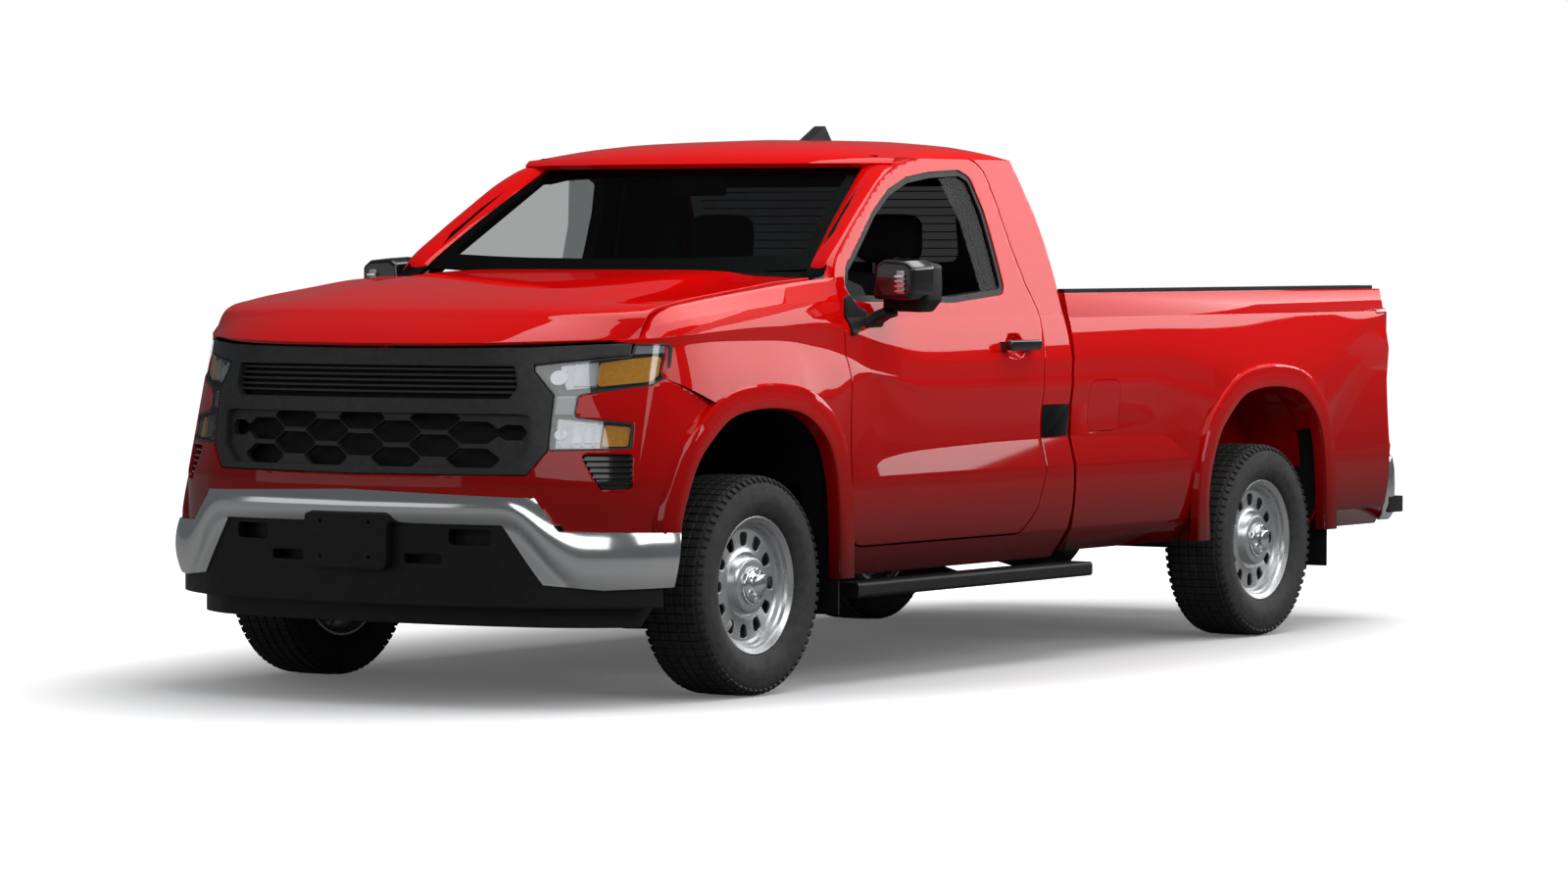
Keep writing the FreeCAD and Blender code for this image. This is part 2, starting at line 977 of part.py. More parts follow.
def roof():
    """The roof panel: crowned sections lofted along the cab, cut to the curve of the windscreen's top."""
    edge_z = height(2) + panel_gap + panel_wall
    wires = []
    for along, crown, drop in roof_stations_shares:
        y = roof_front_y + along * (roof_rear_y - roof_front_y)
        centre = edge_z + crown * roof_crown
        edge = edge_z - drop * roof_edge_drop
        top = Part.Arc(vec(-roof_half_width, y, edge), vec(0, y, centre), vec(roof_half_width, y,
                                                                              edge)).toShape()
        low = Part.Arc(vec(-roof_half_width, y, edge - panel_wall), vec(0, y, centre - panel_wall),
                       vec(roof_half_width, y, edge - panel_wall)).toShape()
        sides = [Part.makeLine(vec(x, y, edge - panel_wall), vec(x, y, edge))
                 for x in (-roof_half_width, roof_half_width)]
        wires.append(Part.Wire([top, sides[1], low, sides[0]]))
    panel = loft(wires)
    side_y = front_door_line(screen_top_side_z)
    front = Part.Arc(vec(-roof_half_width - cut_over, side_y + cut_over, 0), vec(0,
                                                                                 screen_top_y + seat_gap,
                                                                                 0),
                     vec(roof_half_width + cut_over, side_y + cut_over, 0)).toShape()
    far_y = roof_rear_y + cut_over
    rest = Part.makePolygon([vec(roof_half_width + cut_over, side_y + cut_over, 0),
                             vec(roof_half_width + cut_over, far_y, 0),
                             vec(-roof_half_width - cut_over, far_y, 0),
                             vec(-roof_half_width - cut_over, side_y + cut_over, 0)])
    keep = Part.Face(Part.Wire([front] + rest.Edges)).extrude(vec(0, 0, height(2) + height(2)))
    panel = panel.common(keep)
    near_x = side_x(height(2)) - door_wall - panel_gap
    frame = prism("x", door_points, near_x, side_far_x, door_corner, panel_gap)
    rail = box(near_x - ring_wall - seat_gap, near_x + skin, screen_top_side_y, roof_rear_y, 0,
               height(2) + panel_gap)
    return panel.cut([frame, mirrored(frame), rail, mirrored(rail)])


def screen():
    """The windscreen: a ruled sheet between two bowed edges."""
    base = Part.Arc(vec(-screen_base_side_x, screen_base_side_y, screen_base_side_z),
                    vec(0, screen_base_y, screen_base_z),
                    vec(screen_base_side_x, screen_base_side_y, screen_base_side_z)).toShape()
    top = Part.Arc(vec(-screen_top_side_x, screen_top_side_y, screen_top_side_z),
                   vec(0, screen_top_y, screen_top_z),
                   vec(screen_top_side_x, screen_top_side_y, screen_top_side_z)).toShape()
    lean = vec(0, screen_top_y - screen_base_y, screen_top_z - screen_base_z).normalize()
    return Part.makeRuledSurface(base, top).extrude(vec(0, lean.z, -lean.y) * glass_wall)


def inside_cab(inset, y_low, y_high):
    points = side_points(inset, "cab")
    return prism("y", points + [(-x, z) for x, z in points[::-1]], y_low, y_high)


def cab_back():
    line = [(y, z) for y, z in cab_rear_line() if z > cab_floor_z]
    line.append((cab_rear_y, cab_floor_z))
    inner = [(y - cab_back_wall, z) for y, z in line]
    wall = prism("x", line + inner[::-1], -side_far_x, side_far_x)
    wall = wall.common(inside_cab(door_wall + panel_gap + ring_wall + seat_gap, door_front_y,
                                  cab_rear_y + cut_over))
    opening = prism("y", ((-rear_window_half, rear_window_low), (rear_window_half, rear_window_low),
                          (rear_window_half, rear_window_high), (-rear_window_half, rear_window_high)),
                    door_front_y, cab_rear_y + cut_over, window_corner)
    return wall.cut(opening)


def rear_window():
    line = [(y - cab_back_wall / 2, z) for y, z in cab_rear_line() if z > cab_floor_z]
    inner = [(y - glass_wall, z) for y, z in line]
    pane = prism("x", line + inner[::-1], -rear_window_half, rear_window_half)
    shape = prism("y", ((-rear_window_half, rear_window_low), (rear_window_half, rear_window_low),
                        (rear_window_half, rear_window_high), (-rear_window_half, rear_window_high)),
                  door_front_y, cab_rear_y + cut_over, window_corner, -seat_gap)
    return pane.common(shape)


def cab_floor():
    """The floor with its tunnel, and the bulkhead ahead of the cabin."""
    rear = cab_rear_y - cab_back_wall - seat_gap
    floor = box(-cab_floor_half, cab_floor_half, firewall_y, rear, cab_floor_z - floor_wall, cab_floor_z)
    tunnel = box(-tunnel_half, tunnel_half, firewall_y, rear, cab_floor_z - floor_wall,
                 cab_floor_z + tunnel_height)
    hollow = box(-tunnel_half + floor_wall, tunnel_half - floor_wall, firewall_y - cut_over,
                 rear + cut_over,
                 cab_floor_z - floor_wall - cut_over, cab_floor_z + tunnel_height - floor_wall)
    bulkhead = box(-pillar_inner_x + seat_gap, pillar_inner_x - seat_gap, firewall_y - floor_wall,
                   firewall_y,
                   cab_floor_z - floor_wall, screen_base_z - cowl_depth - seat_gap)
    floor = floor.common(inside_cab(door_wall + panel_gap + ring_wall + seat_gap, 0, rear))
    return union([floor, tunnel, bulkhead]).cut(hollow)


def cowl():
    """The black panel at the foot of the windscreen, with a trough under it."""
    front = hood_rear_y + panel_gap + panel_gap
    base = Part.Arc(vec(-screen_base_side_x, screen_base_side_y - seat_gap, 0),
                    vec(0, screen_base_y - seat_gap, 0),
                    vec(screen_base_side_x, screen_base_side_y - seat_gap, 0)).toShape()
    edge = Part.makePolygon([vec(screen_base_side_x, screen_base_side_y - seat_gap, 0),
                             vec(screen_base_side_x, front, 0),
                             vec(-screen_base_side_x, front, 0),
                             vec(-screen_base_side_x, screen_base_side_y - seat_gap, 0)])
    plan = Part.Face(Part.Wire([base] + edge.Edges))
    plate = plan.extrude(vec(0, 0, panel_wall))
    plate.translate(vec(0, 0, screen_base_z - panel_wall - panel_gap))
    trough = box(-cowl_half, cowl_half, firewall_y - floor_wall - cut_over, firewall_y + cut_over,
                 screen_base_z - cowl_depth, screen_base_z - panel_wall - panel_gap)
    back = box(-cowl_half, cowl_half, screen_base_y - seat_gap, firewall_y + cut_over,
               screen_base_z - cowl_depth, screen_base_z - panel_wall - panel_gap)
    pocket = box(hood_pin_x - hood_pin_length, hood_pin_x + hood_pin_length, front - cut_over,
                 hood_open_pin_y + cut_over / 2, 0, screen_base_z)
    return union([plate, trough, back]).cut([pocket, mirrored(pocket)])


def hood_edge(grow):
    """A cutter as wide as the hood's plan, grown all round."""
    side = hood_half_width + grow
    straight_y = hood_rear_y - hood_straight
    half = [(hood_mid_x / 2, (hood_front_y + hood_front_y + hood_mid_y) / 3 - grow), (hood_mid_x,
                                                                                      hood_mid_y - grow),
            (hood_corner_x - hood_nose_corner, hood_nose_y - grow), (hood_corner_x + grow,
                                                                     hood_corner_y - grow),
            (side, straight_y), (side, hood_rear_y + grow)]
    points = [(0, hood_front_y - grow)] + half + [(-x, y) for x, y in half[::-1]]
    return prism("z", points, 0, hood_rear_z + cut_over)


def hood_rows(drop):
    """The hood's surface as rows of points across it, lowered by a drop."""
    length = hood_rear_y - hood_front_y
    rows = []
    for centre_y, side_y, centre_fall, side_fall in hood_row_shares:
        row = []
        for across, flat, nose in hood_column_shares:
            bow = across ** hood_bow_power
            blend = flat + (nose - flat) * max(0, centre_y) ** hood_bow_power
            y = hood_rear_y - (centre_y + (side_y - centre_y) * bow) * length
            z = hood_rear_z - (centre_fall + (side_fall - centre_fall) * blend) * hood_rise
            row.append(vec(across * hood_half_width, y, z - drop))
        rows.append([vec(-at.x, at.y, at.z) for at in row[:0:-1]] + row)
    return rows


def facets(rows):
    """Flat triangles between rows of points."""
    made = []
    for near, far in zip(rows, rows[1:]):
        for first, second, third, fourth in zip(near, near[1:], far, far[1:]):
            made.append(Part.Face(Part.makePolygon([first, second, third, first])))
            made.append(Part.Face(Part.makePolygon([second, fourth, third, second])))
    return made


def plate_between(upper, lower):
    """A closed sheet between two matching sets of rows."""
    walls = [(upper[0], lower[0]), (upper[-1], lower[-1]),
             ([row[0] for row in upper], [row[0] for row in lower]),
             ([row[-1] for row in upper], [row[-1] for row in lower])]
    faces = facets(upper) + facets(lower)
    for wall in walls:
        faces += facets(wall)
    solid = Part.Solid(Part.Shell(faces))
    if solid.Volume < 0:
        solid.reverse()
    return solid


def hood():
    panel = main_solid(plate_between(hood_rows(0), hood_rows(hood_wall)).common(hood_edge(-panel_gap / 2)))
    arms = []
    low_x = hood_pin_x - hood_arm_wall / 2
    high_x = hood_pin_x + hood_arm_wall / 2
    for side in (1, -1):
        arm = prism("x", ((hood_open_pin_y, hood_open_pin_z - hood_arm_wall),
                          (hood_open_pin_y, hood_open_pin_z + hood_arm_wall),
                          (hood_rear_y - cut_over, hood_open_pin_z + hood_arm_wall),
                          (hood_rear_y - cut_over - cut_over, hood_open_pin_z - hood_arm_wall)),
                    low_x, high_x)
        eye = rod("x", hood_arm_wall, low_x, high_x, hood_open_pin_y, hood_open_pin_z)
        bore = rod("x", hood_pin_radius + pin_clearance, low_x - cut_over, high_x + cut_over,
                   hood_open_pin_y, hood_open_pin_z)
        whole = union([arm, eye]).cut(bore)
        arms.append(whole if side == 1 else mirrored(whole))
    return union([panel] + arms)


def hood_hinge():
    """The fixed half of the left hood hinge: a pin in a fork on a bracket from the bulkhead."""
    pin = rod("x", hood_pin_radius, hood_pin_x - hood_pin_length / 2, hood_pin_x + hood_pin_length / 2,
              hood_open_pin_y, hood_open_pin_z)
    cheeks = []
    for low, high in ((-hood_pin_length / 2 - skin, -hood_pin_length / 2 + skin / 2),
                      (hood_pin_length / 2 - skin / 2, hood_pin_length / 2 + skin)):
        cheeks.append(box(hood_pin_x + low, hood_pin_x + high, hood_open_pin_y - hood_arm_wall,
                          firewall_y - floor_wall - seat_gap, hood_open_pin_z - hood_arm_wall - skin,
                          hood_open_pin_z + hood_arm_wall))
    return union([pin] + cheeks)


def arch_points(centre_y, grow=0):
    """A wheel arch's outline in side view, open to the ground."""
    half = arch_half_length + grow
    tall = arch_height + grow
    points = [(centre_y + y * half, wheel_z + z * tall) for y, z in arch_shares]
    return [(points[0][0], arch_base_z)] + points + [(points[-1][0], arch_base_z)]


def arch_cutter(centre_y, grow, x_low, x_high):
    return prism("x", arch_points(centre_y, grow), x_low, x_high, arch_corner)


def flare(centre_y, low_z):
    """The wheel arch's raised lip: a lofted band that leans out from the body side to the opening."""
    root_x = body_half_width * side_section_shares[3][1] - skin
    wires = [
        outline("x", root_x - cut_over, arch_points(centre_y, flare_width), arch_corner),
        outline("x", root_x + skin, arch_points(centre_y, flare_width), arch_corner),
        outline("x", flare_half_width, arch_points(centre_y, skin), arch_corner),
    ]
    band = loft(wires)
    shell = loft([
        outline("x", root_x - cut_over - skin, arch_points(centre_y, flare_width - skin), arch_corner),
        outline("x", root_x - skin, arch_points(centre_y, flare_width - skin - skin), arch_corner),
        outline("x", flare_half_width - skin - skin, arch_points(centre_y, 0), arch_corner),
    ])
    reach = wheelbase / 4
    floor = box(0, flare_half_width + cut_over, centre_y - reach, centre_y + reach, 0, low_z)
    inside = side_slab(skin, body_half_width / 2, "cab", centre_y - reach, centre_y + reach)
    return band.cut([shell, arch_cutter(centre_y, 0, 0, flare_half_width + cut_over), floor, inside])


def fender_section(top_x, top_z, inset, turned_in):
    """One section of the fender, from its edge under the hood down to the rocker."""
    side = body_half_width * (1 - turned_in)
    points = [(share * side - inset, height(z)) for z, share in side_section_shares[:6]]
    points.append((fender_shoulder_shares[0] * side - inset,
                   min(height(side_section_shares[6][0]), top_z - fender_shoulder_shares[1] * belt_height)))
    points.append((top_x + fender_wall - inset,
                   top_z - fender_shoulder_shares[1] * belt_height / 4 - inset))
    points.append((top_x, top_z - inset))
    return points


def fender():
    wires = []
    length = door_front_y - panel_gap - fender_front_y
    for along, top, rise, turned_in in fender_top_shares:
        y = door_front_y - panel_gap - along * length
        top_x = top * body_half_width + panel_gap
        top_z = belt_height + (rise - 1) * greenhouse_height
        outer = fender_section(top_x, top_z, 0, turned_in)
        inner = fender_section(top_x, top_z, fender_wall, turned_in)
        wires.append(Part.makePolygon([vec(x, y, z) for x, z in outer + inner[::-1] + outer[:1]]))
    panel = loft(wires)
    keep = prism(
        "x",
        (
            (door_front_y - panel_gap, 0),
            (door_front_y - panel_gap, hood_rear_z),
            (fender_front_y, hood_rear_z),
            (fender_front_y, fender_seam_front_z),
            (front_arch_y - arch_half_length + cut_over, fender_seam_rear_z),
            (front_arch_y, fender_seam_rear_z),
            (front_arch_y, 0),
        ),
        0,
        side_far_x,
    )
    door_edge = prism("x", door_points, 0, side_far_x, door_corner, panel_gap)
    panel = union([panel, flare(front_arch_y, height(side_section_shares[0][0]))]).common(keep)
    lamp_room = face_cutter(face_points(lamp_outline_shares), 0, seat_gap)
    return panel.cut([arch_cutter(front_arch_y, 0, 0, side_far_x), door_edge, lamp_room])


def plan_line(shares, z, inset):
    """The front face's line in plan at one height, moved inwards."""
    shrink = (body_half_width - inset) / body_half_width
    half = [(x * body_half_width * shrink, y * face_depth - front_overhang + inset) for x, y in shares]
    return [vec(x, y, z) for x, y in [(-x, y) for x, y in half[:0:-1]] + half]


def face_slab(outer_inset, inner_inset):
    """A slab that follows the truck's front face between two depths under its surface."""
    wires = []
    levels = ((face_lower_shares, face_low_z), (face_upper_shares, face_top_z))
    for shares, z in levels:
        outer = plan_line(shares, z, outer_inset)
        inner = plan_line(shares, z, inner_inset)
        wires.append(Part.makePolygon(outer + inner[::-1] + outer[:1]))
    return loft(wires)


def low_face_slab(outer_inset, inner_inset):
    """The same slab straight down from the bumper's top to under the air dam."""
    outer = plan_line(face_lower_shares, face_bottom_z, outer_inset)
    inner = plan_line(face_lower_shares, face_bottom_z, inner_inset)
    plan = Part.Face(Part.makePolygon(outer + inner[::-1] + outer[:1]))
    return plan.extrude(vec(0, 0, face_bumper_z - face_bottom_z))


def face_points(shares):
    return [(x * body_half_width, z * belt_height) for x, z in shares]


def symmetric(points):
    """A closed outline from its right half: the points and their mirror image, met on the centre line."""
    return list(points) + [(-x, z) for x, z in points[::-1] if x]


def face_cutter(points, radius, grow=0):
    return prism("y", points, face_near_y, face_far_y, radius, grow)


def hexagon(x, z):
    half = cell_width / 2
    tall = cell_height / 2
    flat = half * cell_flat_share
    return ((x - half, z), (x - flat, z + tall), (x + flat, z + tall),
            (x + half, z), (x + flat, z - tall), (x - flat, z - tall))


def grille():
    """The grille: a frame with an upper slot over rows of long hexagonal cells."""
    shape = symmetric(face_points(grille_outline_shares))
    panel = face_slab(grille_set_back, grille_set_back + grille_wall).common(face_cutter(shape, 0,
                                                                                         -seat_gap))
    (half_share, top_share), (low_half_share, low_share) = slot_outline_shares
    half = half_share * body_half_width
    slot = face_cutter(((-half, top_share * belt_height), (half, top_share * belt_height),
                        (half, low_share * belt_height), (-half, low_share * belt_height)), 0)
    bars = [slot]
    for row in range(cell_rows):
        shift = cell_pitch_x / 2 if row % 2 else 0
        for column in range(-cell_columns, cell_columns + 1):
            x = column * cell_pitch_x + shift
            z = cell_top_z - row * cell_pitch_z
            if abs(x) + cell_width / 2 < low_half_share * body_half_width:
                bars.append(face_cutter(hexagon(x, z), 0))
    return panel.cut(bars)


def headlamp():
    points = face_points(lamp_outline_shares)
    return face_slab(skin, lamp_depth).common(face_cutter(points, 0, -seat_gap))


def front_fascia(fenders):
    """The painted panel round the lamps and grille, down behind the bumper's upper edge."""
    panel = face_slab(0, fascia_wall).common(face_cutter(symmetric(face_points(fascia_outline_shares)), 0))
    holes = [face_cutter(symmetric(face_points(grille_outline_shares)), 0, seat_gap)]
    bumper_hole = symmetric(face_points(bumper_outline_shares[:4] + bumper_room_shares))
    holes.append(face_cutter(bumper_hole, 0, seat_gap))
    for shares, radius in ((lamp_outline_shares, 0), (vent_outline_shares, lamp_corner)):
        hole = face_cutter(face_points(shares), radius, seat_gap)
        holes += [hole, mirrored(hole)]
    return main_solid(panel.cut(holes).cut(fenders))


def front_bumper():
    points = symmetric(face_points(bumper_outline_shares))
    return low_face_slab(0, bumper_wall).common(face_cutter(points, 0, -seat_gap))


def valance():
    """The black lower front: the insert with its tow openings, and the air dam below it."""
    points = symmetric(face_points(valance_outline_shares))
    insert = low_face_slab(valance_set_back, valance_wall).common(face_cutter(points, 0, -seat_gap))
    hook = face_cutter(((hook_inner_x, hook_low_z), (hook_outer_x, hook_low_z),
                        (hook_outer_x, hook_high_z), (hook_inner_x, hook_high_z)), lamp_corner)
    dam_points = symmetric(face_points(air_dam_outline_shares))
    dam = low_face_slab(valance_wall - fascia_wall,
                        valance_wall + fascia_wall).common(face_cutter(dam_points, 0))
    return union([insert.cut([hook, mirrored(hook)]), dam])


def plate_bracket(others):
    nose = -front_overhang
    plate = box(-plate_half_width, plate_half_width, nose, nose + plate_wall, plate_low_z, plate_top_z)
    return main_solid(plate.cut(others))


def bed_side_plain():
    """The bed side: a double wall over the floor, a single skin below it, and the wheel arch."""
    slab = side_slab(0, bed_skin, "bed", bed_front_y, bed_rear_y)
    outer = side_points(0, "bed")
    top_z = outer[-1][1]
    inner = ((bed_inner_half, bed_floor_z + seat_gap), (bed_inner_half, top_z))
    thick = prism("y", [(x, z) for x, z in outer if z > bed_floor_z] + [inner[1], inner[0]],
                  bed_front_y, bed_rear_y)
    low = box(0, side_far_x, bed_front_y - cut_over, bed_rear_y + cut_over, 0, bed_lower_z)
    arch_y = wheelbase + rear_arch_shift
    side = union([slab, thick, flare(arch_y, bed_lower_z)])
    return side.cut([arch_cutter(arch_y, 0, 0, side_far_x), low])


def bed_side():
    """The left bed side, with the fuel door's pocket."""
    pocket = prism("x", fuel_points(), side_points(0, "bed")[2][0] - fuel_pocket_depth, side_far_x,
                   fuel_corner, fuel_gap)
    hinge_room = prism("x", fuel_room_points(), side_points(0, "bed")[2][0] - fuel_pocket_depth,
                       fuel_hinge_x + fuel_pin_radius * 3)
    return bed_side_plain().cut([pocket, hinge_room])


def fuel_points():
    rear = fuel_front_y + fuel_length
    high = fuel_low_z + fuel_height
    return ((fuel_front_y, fuel_low_z), (rear, fuel_low_z), (rear, high), (fuel_front_y, high))


def fuel_room_points():
    middle = fuel_low_z + fuel_height / 2
    front = fuel_front_y - fuel_hinge_ahead - fuel_eye_height
    return ((front, middle - fuel_eye_height), (fuel_front_y + fuel_eye_height, middle - fuel_eye_height),
            (fuel_front_y + fuel_eye_height, middle + fuel_eye_height), (front, middle + fuel_eye_height))


def fuel_door():
    panel = side_slab(0, fuel_wall, "bed", fuel_front_y, fuel_front_y + fuel_length)
    panel = panel.common(prism("x", fuel_points(), 0, side_far_x, fuel_corner))
    middle = fuel_low_z + fuel_height / 2
    y = fuel_front_y - fuel_hinge_ahead
    low = middle - fuel_eye_height / 2
    high = middle + fuel_eye_height / 2
    eye = rod("z", fuel_pin_radius + fuel_wall, low, high, fuel_hinge_x, y)
    arm = prism("z", [(fuel_hinge_x + u * fuel_hinge_ahead, y + v * fuel_hinge_ahead) for u,
                      v in fuel_arm_shares],
                low, high)
    bore = rod("z", fuel_pin_radius + pin_clearance / 3, low - cut_over, high + cut_over, fuel_hinge_x, y)
    return union([panel, union([arm, eye]).cut(bore)])


def side_x_low(z):
    """The half width of the lower body side at one height."""
    points = side_points(0, "cab")
    for (x_low, z_low), (x_high, z_high) in zip(points, points[1:]):
        if z_low <= z <= z_high:
            return x_low + (x_high - x_low) * (z - z_low) / (z_high - z_low)
    return points[-1][0]


def fuel_pin():
    middle = fuel_low_z + fuel_height / 2
    y = fuel_front_y - fuel_hinge_ahead
    return rod("z", fuel_pin_radius, middle - fuel_eye_height - fuel_wall,
               middle + fuel_eye_height + fuel_wall,
               fuel_hinge_x, y)


def bed_floor():
    """The ribbed floor, the front wall and the two wheelhouses, as one pressing."""
    rear = bed_rear_y - tailgate_wall - panel_gap
    low = bed_floor_z - bed_floor_wall
    half = bed_inner_half - seat_gap
    floor = box(-half, half, bed_front_y, rear, low, bed_floor_z)
    front = box(-half, half, bed_front_y, bed_front_y + bed_front_wall, low, height(bed_top_shares[1][0]))
    arch_y = wheelbase + rear_arch_shift
    pieces = [floor, front]
    pitch = 2 * wheelhouse_inner_x / rib_count
    for index in range(rib_count):
        x = -wheelhouse_inner_x + pitch * (index + 1 / 2)
        pieces.append(box(x - rib_half_width, x + rib_half_width, bed_front_y + bed_front_wall, rear,
                          bed_floor_z, bed_floor_z + rib_height))
    house = arch_cutter(arch_y, bed_floor_wall, wheelhouse_inner_x, half)
    room = arch_cutter(arch_y, 0, wheelhouse_inner_x + bed_floor_wall, half + cut_over)
    below = box(-side_far_x, side_far_x, bed_front_y, rear, 0, low - wheelhouse_skirt)
    house = house.cut(below)
    pieces += [house, mirrored(house)]
    for y, top in bed_pad_places:
        pad = box(rail_x - rail_width / 2, rail_x + rail_width / 2, y - bed_pad_half, y + bed_pad_half,
                  rail_z + rail_height / 2 + top * rail_rise + seat_gap, low + seat_gap)
        pieces += [pad, mirrored(pad)]
    return union(pieces).cut([room, mirrored(room)])


def bed_rail_cap():
    top_z = height(bed_top_shares[1][0])
    outer = bed_top_shares[1][1] * body_half_width
    return box(outer - rail_cap_width, outer, bed_front_y, bed_rear_y - tailgate_wall, top_z + seat_gap,
               top_z + rail_cap_height)


def tailgate():
    front = bed_rear_y - tailgate_wall
    panel = box(-tailgate_half_width, tailgate_half_width, front, bed_rear_y, tailgate_bottom, tailgate_top)
    recess = box(-tailgate_half_width * gate_recess_share, tailgate_half_width * gate_recess_share,
                 bed_rear_y - gate_recess_depth, bed_rear_y + cut_over,
                 tailgate_bottom + gate_recess_low, tailgate_top - gate_recess_high)
    round_edge = rod("x", tailgate_wall / 2, -tailgate_half_width, tailgate_half_width,
                     bed_rear_y - tailgate_wall / 2, tailgate_pin_z)
    square = box(-tailgate_half_width - cut_over, tailgate_half_width + cut_over, front - cut_over,
                 bed_rear_y + cut_over, 0, tailgate_pin_z)
    panel = panel.cut([recess, square])
    bore = rod("x", tailgate_pin_radius + pin_clearance, tailgate_half_width - cut_over,
               tailgate_half_width + cut_over, bed_rear_y - tailgate_wall / 2, tailgate_pin_z)
    return union([panel, round_edge]).cut([bore, mirrored(bore)])


def gate_pin():
    """The left tailgate trunnion, with the post that fills the corner of the bed."""
    y = bed_rear_y - tailgate_wall / 2
    pin = rod("x", tailgate_pin_radius, tailgate_half_width - cut_over / 2, bed_inner_half - bed_skin, y,
              tailgate_pin_z)
    post = box(tailgate_half_width + panel_gap, bed_inner_half + bed_skin, bed_rear_y - tailgate_wall,
               bed_rear_y - seat_gap,
               bed_floor_z, height(bed_top_shares[1][0]))
    return union([pin, post])


def taillamp():
    """A tall lamp let into the rear corner, on the end of the bed side."""
    return box(bed_inner_half + panel_gap, body_half_width - taillamp_wrap / 3, bed_rear_y + seat_gap,
               bed_rear_y + taillamp_depth, lamp_low_z, lamp_high_z)


def rear_bumper():
    """The step bumper: a bowed face bar with a tread on top and a plate recess in the middle."""
    def bow(inset):
        return Part.Arc(vec(-rear_bumper_half, rear_y - rear_bumper_sweep - inset, 0), vec(0,
                                                                                           rear_y - inset,
                                                                                           0),
                        vec(rear_bumper_half, rear_y - rear_bumper_sweep - inset, 0)).toShape()
    outer = bow(0)
    inner = bow(rear_bumper_wall)
    ends = [Part.makeLine(outer.Vertexes[n].Point, inner.Vertexes[n].Point) for n in (0, 1)]
    bar = Part.Face(Part.Wire([outer, ends[1], inner, ends[0]])).extrude(vec(0, 0,
                                                                             rear_bumper_top_z
                                                                             - rear_bumper_low_z))
    bar.translate(vec(0, 0, rear_bumper_low_z))
    sides = Part.makePolygon([vec(rear_bumper_half, rear_y - rear_bumper_sweep, 0),
                              vec(rear_bumper_half, rear_bumper_front_y, 0),
                              vec(-rear_bumper_half, rear_bumper_front_y, 0),
                              vec(-rear_bumper_half, rear_y - rear_bumper_sweep, 0)])
    tread = Part.Face(Part.Wire([bow(0)] + sides.Edges)).extrude(vec(0, 0, step_wall))
    tread.translate(vec(0, 0, rear_bumper_top_z - step_wall))
    recess = box(-plate_recess_half, plate_recess_half, rear_y - rear_bumper_wall / 2, rear_y + cut_over,
                 plate_recess_low, rear_bumper_top_z - step_wall)
    mounts = [box(side * rail_x - rail_width / 2, side * rail_x + rail_width / 2, rail_rear_y + seat_gap,
                  rear_y - rear_bumper_wall - rear_bumper_sweep / 4, rail_z + rail_rise - rail_height / 2 ,
                  rail_z + rail_rise) for side in (1, -1)]
    tow_hole = rod("z", tow_hole_radius, rear_bumper_top_z - step_wall - cut_over,
                   rear_bumper_top_z + cut_over,
                   0, tow_hole_y)
    return union([bar, tread] + mounts).cut([recess, tow_hole])


def ring_points(x, radius, sides=wheel_sides):
    """Points round the wheel's axle at one radius."""
    turn = 2 * math.pi / sides
    return [vec(x, radius * math.sin(turn * n), radius * math.cos(turn * n)) for n in range(sides)]


def turned(points):
    """A ring about the wheel's axle, of flat faces, from a closed profile of distance along it and radius."""
    rings = [ring_points(x, radius) for x, radius in points]
    faces = []
    for near, far in zip(rings, rings[1:] + rings[:1]):
        for n in range(wheel_sides):
            faces.append(Part.Face(Part.makePolygon([near[n - 1], near[n], far[n], far[n - 1],
                                                     near[n - 1]])))
    solid = Part.Solid(Part.Shell(faces))
    if solid.Volume < 0:
        solid.reverse()
    return solid


def barrel(points):
    """A solid about the wheel's axle, of flat faces, from an open profile."""
    rings = [ring_points(x, radius) for x, radius in points]
    return loft([Part.makePolygon(ring + ring[:1]) for ring in rings])


def tyre():
    bead = rim_radius + seat_gap
    rise = tyre_radius - bead
    half = tyre_width / 2
    outer = [(x * half, bead + z * rise) for z, x in tyre_section_shares]
    outer += [(-x, r) for x, r in outer[-2::-1]]
    wall = rise * (1 - rim_groove_share)
    inner = [(half * tyre_section_shares[0][1] - wall, bead), (half - wall, bead + rise / 2),
             (half * tyre_section_shares[6][1], tyre_radius - wall)]
    inner += [(-x, r) for x, r in inner[::-1]]
    return turned(outer + inner[::-1])


